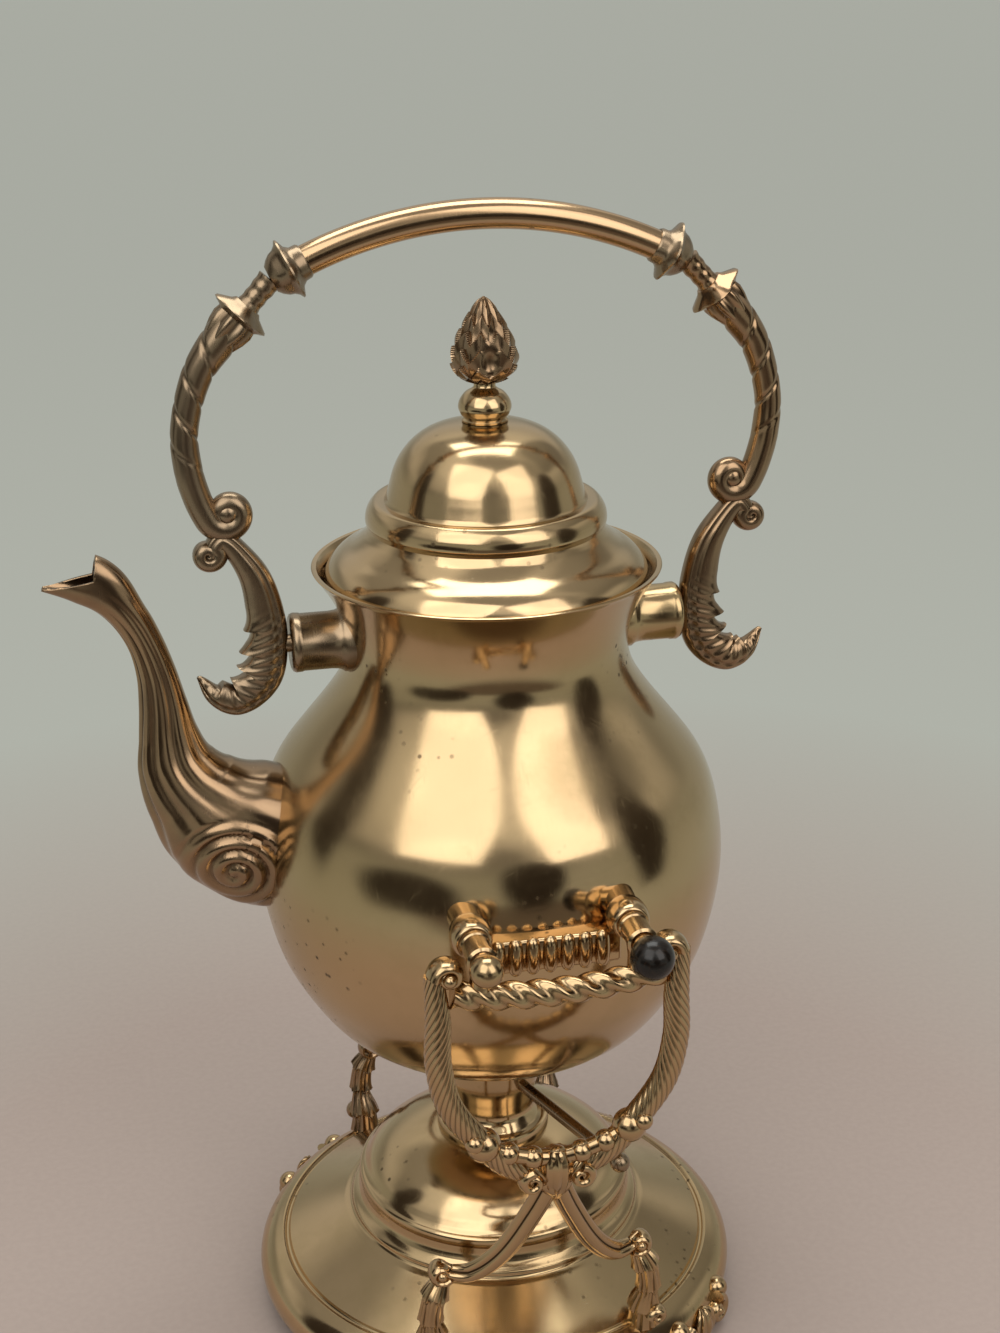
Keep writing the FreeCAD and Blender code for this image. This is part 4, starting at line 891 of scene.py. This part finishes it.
class KETTLE_OT_spout(Operator):
    """Cast the swan-neck spout with its curl, its flutes and its beaked mouth"""

    bl_idname = "kettle.spout"
    bl_label = "Spout"

    def execute(self, context):
        line = [
            (-58.0, 163.2, 20.8), (-69.0, 166.5, 22.0), (-80.5, 173.5, 20.2), (-89.0, 183.5, 14.8),
            (-93.0, 192.0, 11.4), (-94.6, 201.0, 8.6), (-95.6, 210.5, 6.9), (-96.9, 220.5, 5.6),
            (-99.4, 230.0, 5.0), (-103.6, 238.6, 5.3), (-109.6, 245.2, 5.6), (-116.8, 248.8, 5.3),
            (-126.4, 250.2, 2.7),
        ]
        way = Way([(x, 0, z, r) for x, z, r in line], 250)
        eye = Vector((-79.5, 0, 161.5))
        flat = 0.82

        def place(share, angle):
            i = way.at(share)
            radius = way.sizes[i]
            up = math.cos(angle)
            spot = way.point(i, radius * up, flat * radius * math.sin(angle))
            off = spot - eye
            reach = math.hypot(off.x, off.z)
            turn = math.atan2(off.z, off.x)
            inside = max(0.0, min(1.0, (18.5 - reach) / 5.0))
            curl = groove(TURN * reach / 4.6 + turn) * inside * min(1.0, reach / 2.0)
            sides = max(0.0, min(1.0, (0.93 - up) / 0.45))
            sway = 0.9 * math.sin(0.16 * (spot.z - 168.0)) * max(0.0, 1 - share)
            reeds = groove(9 * angle + math.copysign(2.0, math.sin(angle)) * sway) * (1 - inside) * sides
            ease = min(1.0, radius / 9.0) * max(0.0, min(1.0, (0.86 - share) * 9))
            rise = 1.7 * curl * abs(math.sin(angle)) + 0.95 * reeds * ease
            hood = max(0.0, min(1.0, (share - 0.77) / 0.135))
            radius += rise + 3.9 * hood * hood * (3 - 2 * hood) * max(0.0, up) ** 2.5
            return way.point(i, radius * up, flat * radius * math.sin(angle))

        bm = open_tube(way.last, 150, place)
        corner = Vector((-112.5, 0, 250.3))
        above_beak = Vector((-0.17, 0, 1.0)).normalized()
        before_hood = Vector((-6.2, 0, 1.2)).normalized()
        for normal in (above_beak, before_hood):
            whole = bm.verts[:] + bm.edges[:] + bm.faces[:]
            bmesh.ops.bisect_plane(bm, geom=whole, plane_co=corner, plane_no=normal)
        mouth = []
        for face in bm.faces:
            off = face.calc_center_median() - corner
            if off.dot(above_beak) > 0 and off.dot(before_hood) > 0:
                mouth.append(face)
        bmesh.ops.delete(bm, geom=mouth, context="FACES")
        bmesh.ops.recalc_face_normals(bm, faces=bm.faces)
        obj = piece("swan_spout", bm, "kettle", "cast_brass", "spout", "aged_brass", ornament=True)
        wall = obj.modifiers.new("Wall", "SOLIDIFY")
        wall.thickness = context.scene.kettle_sizes.sheet
        wall.offset = -1.0
        return {"FINISHED"}


def leaf_shape():
    """The C-shaped leaf of the rear arm: a smooth curl above, lobes on its hollow side below, in mm."""
    points = spiral((80.2, 0, 254.6), 0.5, 3.0, -1.15, math.pi * 1.05, 2.2, 3.0, 12)
    points += [(76.0, 0, 258.6, 3.0), (72.0, 0, 254.6, 3.4), (67.4, 0, 246.5, 4.5), (65.2, 0, 236.5, 5.4),
               (64.8, 0, 226.5, 5.8), (67.2, 0, 216.5, 5.9), (74.2, 0, 210.4, 4.8), (80.6, 0, 212.4, 3.2),
               (85.3, 0, 218.0, 0.5)]
    way = Way(points, 240)

    def place(share, angle):
        i = way.at(share)
        width = way.sizes[i]
        thick = min(4.2, 2.2 + 0.5 * width) * min(1.0, (1 - share) * 8 + 0.25)
        out = math.cos(angle)
        side = math.sin(angle)
        grown = max(0.0, min(1.0, (share - 0.46) * 7))
        lobe = (share * 11.0) % 1.0
        teeth = (0.60 * lobe ** 1.4 - 0.22) * max(0.0, out) ** 1.5 * grown
        veins = 0.17 * math.cos(TURN * (share * way.length / 3.1 - 0.16 * out * width)) * abs(side) * grown
        rib = -0.55 * math.exp(-((out + 0.45) / 0.16) ** 2) * abs(side)
        fold = 0.7 * (lobe - 0.5) * max(0.0, out) * abs(side) * grown
        wide = width * (1 + teeth) * math.copysign(abs(out) ** 0.9, out)
        deep = (thick + veins + rib + fold) * math.copysign(abs(side) ** 0.75, side)
        return way.point(i, -wide, deep)

    return rolled(way.last, 64, place)


def rear_arm_shape(sizes):
    """The rear arm: shaft, calyx, fluted bow, curl and leaf, in mm."""
    twists = sizes.twists
    end = Vector((59.0, 0, 330.6))
    collar = Vector((67.5, 0, 321.5))
    shaft = [tuple(end) + (3.5,), tuple(end.lerp(collar, 0.5)) + (3.1,), tuple(collar) + (3.6,)]
    shapes = [tube(shaft, 30, 32, lambda s, a: 0.10 * math.cos(4 * TURN * s))]
    calyx = [(0, -3.4), (3.8, -3.2), (4.6, -2.2), (7.6, -0.4), (7.9, 0.2), (7.0, 0.8), (5.6, 1.6), (5.9, 3.4),
             (5.5, 6.0), (4.6, 9.0), (3.6, 11.0), (0, 11.2)]

    def petals(turn, wide, z):
        if z < 1.2:
            return 1 + 0.10 * math.cos(4 * turn) * min(1.0, wide / 7.0)
        return 1 - 0.10 * math.cos(8 * turn)

    cup = lobed(turned(calyx, 72), petals)
    bow = [
        (67.5, 0, 321.5, 5.0), (73.4, 0, 315.2, 5.1), (80.2, 0, 305.6, 4.3), (84.5, 0, 291.0, 3.9),
        (84.2, 0, 279.5, 4.0), (82.2, 0, 271.0, 4.0),
    ]
    bow += spiral((74.2, 0, 266.2), 5.6, 0.8, -1.35, -0.08 * math.pi, 4.0, 2.6, 20)
    way = Vector((bow[1][0] - bow[0][0], 0, bow[1][2] - bow[0][2]))
    shapes.append(stood(cup, collar, way))

    def flutes(share, angle):
        cut = max(0.0, math.cos(2 * angle - twists * TURN * 1.8 * share)) ** 6
        return -0.45 * cut * max(0.0, min(1.0, 6 * (0.58 - share)))

    shapes.append(tube(bow, 230, 48, flutes))
    shapes.append(ball(Vector((74.2, 0, 266.4)), 3.8, 16))
    shapes.append(leaf_shape())
    return joined(shapes)


class KETTLE_OT_handle(Operator):
    """Bend the grip and cast the handle's arms and collars"""

    bl_idname = "kettle.handle"
    bl_label = "Bail handle"

    def execute(self, context):
        sizes = context.scene.kettle_sizes
        end_x, end_z, top_z = 54.0, 333.0, 345.8
        rise = top_z - end_z
        bend = (end_x ** 2 + rise ** 2) / (2 * rise)
        half = math.asin(end_x / bend)
        arc = []
        for i in range(41):
            turn = half * (2 * i / 40 - 1)
            z = top_z - bend * (1 - math.cos(turn))
            arc.append((bend * math.sin(turn), 0, z, sizes.grip_radius / MM))
        piece("bent_grip", tube(arc, 161, 48), "handle", "grip_brass", "handle_grip")
        way = Vector((math.cos(half), 0, -math.sin(half)))
        collar = [(0, -5.5), (4.5, -5.4), (4.9, -4.8), (5.0, -3.0), (5.8, -1.8), (7.8, -0.8), (8.0, -0.3),
                  (7.0, 0.4), (6.3, 1.4), (5.9, 2.8), (5.0, 4.2), (3.8, 5.3), (0, 5.5)]

        def corners(turn, wide, z):
            return 1 + 0.09 * math.cos(4 * turn) * max(0.0, min(1.0, (wide - 4.6) / 3.0))

        # The two arms are one casting: the rear arm's lighter aged finish is painted light, and the spout arm
        # keeps the darker bronze.
        for word, look in (("rear", "aged_brass"), ("spout", "dark_bronze")):
            cup = stood(lobed(turned(collar, 72), corners), Vector((end_x, 0, end_z)), way)
            arm = rear_arm_shape(sizes)
            if word == "spout":
                flipped(cup, 0)
                flipped(arm, 0)
            piece("grip_collar_" + word, cup, "handle", "dark_bronze", "grip_ferrule_" + word, ornament=True)
            node = "handle_arm_" + word
            piece("scroll_arm_" + word, arm, "handle", "dark_bronze", node, look, ornament=True)
        return {"FINISHED"}


def bud_shape():
    """The finial's bud: overlapping pointed scales round a smooth face with a hollow in front."""
    count = 120
    points = [(3.1, 298.8), (6.6, 300.4), (9.0, 303.4), (9.4, 306.3), (8.3, 310.6), (6.4, 314.6),
              (4.0, 318.9), (1.8, 322.0), (0.2, 323.2)]
    side = smooth_line(points, count + 1)

    def place(share, angle):
        radius, z = side[min(round(share * count), count)]
        lobe = abs(2 * ((9 * angle / TURN + 0.25) % 1.0) - 1)
        scale = (6.0 * share ** 0.9 + 0.75 * lobe) % 1.0
        face = 0.0
        if math.sin(angle) < 0:
            width = 4.6 - 0.28 * max(0.0, z - 305.0)
            face = math.exp(-(radius * math.cos(angle) / max(width, 1.2)) ** 4 - ((z - 307.0) / 6.6) ** 4)
        radius += (1.25 * scale ** 1.3 - 0.75) * min(1.0, radius / 6.0) * (1 - face)
        pit = math.exp(-((z - 305.8) / 3.0) ** 2 - (radius * math.cos(angle) / 2.3) ** 2)
        return Vector((radius * math.cos(angle), radius * math.sin(angle) + face * (1.0 + 2.2 * pit), z))

    return rolled(count, 144, place)


class KETTLE_OT_lid(Operator):
    """Spin the domed lid and set its finial"""

    bl_idname = "kettle.lid"
    bl_label = "Lid and finial"

    def execute(self, context):
        skirt = [(46.6, 243.8), (47.0, 244.3), (46.4, 246.0), (44.6, 248.4), (42.4, 250.2), (38.9, 252.3),
                 (35.6, 255.2), (34.2, 257.0)]
        ring = [(33.9, 257.5), (34.3, 258.1), (34.9, 259.4), (34.7, 261.8), (33.8, 263.8), (32.6, 265.2)]
        ledge = [(31.9, 265.5), (30.2, 265.5), (29.3, 265.4)]
        dome = [(28.9, 265.9), (28.2, 268.4), (27.6, 270.6), (26.5, 274.2), (24.6, 278.0), (21.4, 281.9),
                (17.4, 284.9), (12.4, 286.9), (7.2, 287.8), (2.0, 288.0)]
        outer = eased(skirt, 40) + eased(ring, 20) + eased(ledge, 6) + eased(dome, 50)
        profile = walled(outer, 1.0)
        profile.append(profile[0])
        piece("spun_lid", turned(profile, 224), "lid", "polished_brass", "lid_shell")
        knob = [(0, 288.0), (6.6, 288.0), (6.7, 288.5), (6.1, 289.1), (6.4, 289.5)]
        bulb = [(6.9, 290.0), (7.6, 291.9), (7.2, 294.0), (5.6, 296.2), (3.6, 297.4), (3.1, 298.0)]
        knob += eased(bulb, 22)
        knob += [(3.1, 298.9), (0, 298.9)]
        piece("ball_knob", turned(knob, 96), "lid", "polished_brass", "finial_knob")
        piece("leaf_bud", bud_shape(), "lid", "cast_brass", "finial_bud", "aged_brass", ornament=True)
        piece("lid_knuckle", lid_knuckle_shape(), "lid", "cast_brass", "lid_hinge")
        return {"FINISHED"}


class KETTLE_OT_fittings(Operator):
    """Give the small fittings that keep their CAD shape their finish"""

    bl_idname = "kettle.fittings"
    bl_label = "Small fittings"

    def execute(self, context):
        slots = {entry["node"]: entry["material_slot"] for entry in frame["record"]["subparts"]}
        fittings = ("bracket_screws", "lid_hinge_pin", "handle_pin_rear", "handle_pin_spout", "lid_bezel",
                    "finial_nut")
        for node in fittings:
            mesh = frame["nodes"][node].data
            mesh.materials.clear()
            mesh.materials.append(finish(slots[node]))
        return {"FINISHED"}


def lamp(name, spot, aim, size, power, tone):
    """A soft area lamp that faces its aim."""
    light = bpy.data.lights.new(name, "AREA")
    light.shape = "RECTANGLE"
    light.size = size[0]
    light.size_y = size[1]
    light.energy = power
    light.color = tone
    obj = bpy.data.objects.new(name, light)
    obj.location = spot
    obj.rotation_euler = (Vector(aim) - Vector(spot)).to_track_quat("-Z", "Y").to_euler()
    bpy.context.scene.collection.objects.link(obj)


def card(name, spot, width, height, tone, flat=False):
    """A dark card beside the kettle that only its reflections show."""
    bm = bmesh.new()
    bm.loops.layers.uv.new("place")
    bmesh.ops.create_grid(bm, x_segments=1, y_segments=1, size=0.5, calc_uvs=True)
    bmesh.ops.scale(bm, vec=(width, height, 1.0), verts=bm.verts)
    mesh = bpy.data.meshes.new(name)
    bm.to_mesh(mesh)
    bm.free()
    mesh.materials.append(tone)
    obj = bpy.data.objects.new(name, mesh)
    obj.location = spot
    level = Vector((-spot[0], -spot[1], 0.0))
    if not flat:
        obj.rotation_euler = level.to_track_quat("Z", "Y").to_euler()
    obj.visible_camera = False
    obj.visible_diffuse = False
    obj.visible_shadow = False
    bpy.context.scene.collection.objects.link(obj)


class KETTLE_OT_stage(Operator):
    """Lay the floor and set the light and the camera"""

    bl_idname = "kettle.stage"
    bl_label = "Stage"

    def execute(self, context):
        scene = context.scene
        stage = scene.kettle_stage
        scene.view_settings.view_transform = "Standard"
        bm = bmesh.new()
        bmesh.ops.create_circle(bm, cap_ends=True, segments=96, radius=14.0)
        mesh = bpy.data.meshes.new("floor")
        bm.to_mesh(mesh)
        bm.free()
        floor = bpy.data.objects.new("floor", mesh)
        floor.location.z = -0.0003
        scene.collection.objects.link(floor)
        mesh.materials.append(self.floor_finish(stage))
        self.world(scene, stage)
        card_tone = self.card_finish("dark_card", (0.045, 0.034, 0.027, 1.0))
        brown_tone = self.card_finish("brown_card", (0.10, 0.08, 0.066, 1.0))
        card("floor_card", (0.0, -0.92, 0.004), 1.9, 1.15, brown_tone, flat=True)
        card("left_card", (-0.62, -0.52, 0.10), 0.85, 0.36, card_tone)
        card("front_card", (0.12, -0.95, 0.24), 0.60, 0.52, card_tone)
        card("right_card", (0.72, -0.30, 0.36), 0.40, 0.95, card_tone)
        card("side_card", (-0.75, 0.10, 0.45), 0.32, 0.90, card_tone)
        lamp("window", (-0.62, -0.80, 1.10), (0, 0, 0.17), (1.05, 1.25), 7.5, (1.0, 0.97, 0.93))
        lamp("room", (0.55, -0.90, 0.95), (0, 0, 0.15), (0.75, 1.10), 4.4, (1.0, 0.95, 0.91))
        lamp("ceiling", (0.05, 0.25, 1.35), (0, 0, 0.1), (0.9, 0.6), 6.5, (0.98, 1.0, 0.97))
        self.camera(scene, stage)
        return {"FINISHED"}

    def card_finish(self, name, tone):
        """One tone with soft edges."""
        nodes = Finish(name)
        nodes.shader.inputs["Base Color"].default_value = tone
        nodes.shader.inputs["Roughness"].default_value = 0.9
        apart = nodes.add("ShaderNodeVectorMath", operation="LENGTH")
        shift = nodes.add("ShaderNodeMapping")
        nodes.put(shift.inputs["Vector"], nodes.add("ShaderNodeTexCoord").outputs["UV"])
        shift.inputs["Location"].default_value = (-0.5, -0.5, 0.0)
        nodes.put(apart.inputs[0], shift.outputs["Vector"])
        nodes.put(nodes.shader.inputs["Alpha"], nodes.spread(apart.outputs["Value"], 0.36, 0.5, 1.0, 0.0))
        return nodes.material

    def floor_finish(self, stage):
        """A pale floor that fades into the background's tone further off."""
        nodes = Finish("pale_floor")
        shader = nodes.shader
        apart = nodes.add("ShaderNodeVectorMath", operation="LENGTH")
        nodes.put(apart.inputs[0], nodes.place)
        fade = nodes.spread(apart.outputs["Value"], stage.fade_start, stage.fade_end)
        grain = nodes.spread(nodes.noise(700.0, 4.0), 0.3, 0.7, -0.02, 0.02)
        dimmer = tuple(0.96 * part for part in stage.floor[:3]) + (1.0,)
        speckle = nodes.mix(nodes.spread(nodes.noise(420.0, 3.0), 0.35, 0.65), dimmer, tuple(stage.floor))
        shade = tuple(0.28 * part for part in stage.wall[:3]) + (1.0,)
        nodes.put(shader.inputs["Base Color"], nodes.mix(fade, speckle, shade))
        nodes.put(shader.inputs["Roughness"], nodes.math("ADD", grain, 0.8))
        shader.inputs["Specular IOR Level"].default_value = 0.1
        ray = nodes.add("ShaderNodeLightPath")
        seen = nodes.math("MAXIMUM", ray.outputs["Is Camera Ray"], ray.outputs["Is Glossy Ray"])
        seen = nodes.math("MAXIMUM", seen, ray.outputs["Is Transmission Ray"])
        shader.inputs["Emission Color"].default_value = stage.wall
        glow = nodes.math("MULTIPLY", nodes.math("MULTIPLY", seen, fade), 0.845)
        nodes.put(shader.inputs["Emission Strength"], glow)
        return nodes.material

    def world(self, scene, stage):
        """A soft room: light above, darker towards the floor, with the backdrop's tone near the horizon."""
        world = bpy.data.worlds.new("soft_room")
        scene.world = world
        world.use_nodes = True
        nodes = Nodes(world.node_tree, "Generated")
        split = nodes.add("ShaderNodeSeparateXYZ")
        nodes.put(split.inputs["Vector"], nodes.place)
        height = split.outputs["Z"]
        ramp = nodes.add("ShaderNodeValToRGB")
        nodes.put(ramp.inputs["Fac"], nodes.spread(height, -1.0, 1.0))
        stops = ramp.color_ramp.elements
        stops[0].position = 0.40
        stops[0].color = (0.10, 0.09, 0.08, 1)
        stops[1].position = 1.0
        stops[1].color = (0.80, 0.79, 0.74, 1)
        for position, tone in ((0.52, 0.12), (0.57, 0.26), (0.66, 0.46), (0.76, 0.50), (0.84, 0.66)):
            stops.new(position).color = (tone, 0.99 * tone, 0.92 * tone, 1)
        room = nodes.add("ShaderNodeVectorMath", operation="SCALE")
        nodes.put(room.inputs[0], ramp.outputs["Color"])
        nodes.put(room.inputs["Scale"], nodes.spread(nodes.noise(1.7, 0.0), 0.42, 0.56, 0.50, 1.2))
        ray = nodes.add("ShaderNodeLightPath").outputs
        mirrored = nodes.math("MAXIMUM", ray["Is Glossy Ray"], ray["Is Transmission Ray"])
        mirrored = nodes.math("MULTIPLY", mirrored, nodes.spread(height, 0.08, 0.34, 1.0, 0.0))
        seen = nodes.math("MAXIMUM", ray["Is Camera Ray"], mirrored)
        backdrop = nodes.mix(seen, room.outputs["Vector"], stage.wall)
        nodes.put(nodes.tree.nodes["Background"].inputs["Color"], backdrop)

    def camera(self, scene, stage):
        """The photograph's view."""
        data = bpy.data.cameras.new("camera")
        data.sensor_fit = "VERTICAL"
        data.sensor_height = 24.0
        data.lens = stage.lens
        camera = bpy.data.objects.new("camera", data)
        reach = stage.camera_distance
        turn = stage.camera_turn
        camera.location = (-reach * math.sin(turn), -reach * math.cos(turn), stage.camera_height)
        heading = Matrix.Rotation(-(turn + stage.camera_yaw), 4, "Z")
        tilt = Matrix.Rotation(math.pi / 2 - stage.camera_pitch, 4, "X")
        roll = Matrix.Rotation(stage.camera_roll, 4, "Z")
        camera.rotation_euler = (heading @ tilt @ roll).to_euler()
        scene.collection.objects.link(camera)
        scene.camera = camera


STEPS = (
    KETTLE_OT_base, KETTLE_OT_brackets, KETTLE_OT_pins, KETTLE_OT_burner, KETTLE_OT_pot, KETTLE_OT_spout,
    KETTLE_OT_handle, KETTLE_OT_lid, KETTLE_OT_fittings, KETTLE_OT_stage,
)


class KETTLE_PT_pieces(Panel):
    """Lists the pieces and their sizes"""

    bl_label = "Tipping kettle"
    bl_idname = "KETTLE_PT_pieces"
    bl_space_type = "VIEW_3D"
    bl_region_type = "UI"
    bl_category = "Kettle"

    def draw(self, context):
        column = self.layout.column()
        for step in STEPS:
            column.operator(step.bl_idname)
        for group in (context.scene.kettle_sizes, context.scene.kettle_finishes, context.scene.kettle_stage):
            box = self.layout.box()
            for name in group.bl_rna.properties.keys():
                if name not in ("rna_type", "name"):
                    box.prop(group, name)


CLASSES = (KettleSizes, KettleFinishes, KettleStage) + STEPS + (KETTLE_PT_pieces,)


def register():
    for item in CLASSES:
        bpy.utils.register_class(item)
    bpy.types.Scene.kettle_sizes = PointerProperty(type=KettleSizes)
    bpy.types.Scene.kettle_finishes = PointerProperty(type=KettleFinishes)
    bpy.types.Scene.kettle_stage = PointerProperty(type=KettleStage)


def unregister():
    for name in ("kettle_sizes", "kettle_finishes", "kettle_stage"):
        delattr(bpy.types.Scene, name)
    for item in reversed(CLASSES):
        bpy.utils.unregister_class(item)


def main():
    register()
    for step in STEPS:
        group, name = step.bl_idname.split(".")
        getattr(getattr(bpy.ops, group), name)()


if __name__ == "__main__":
    main()
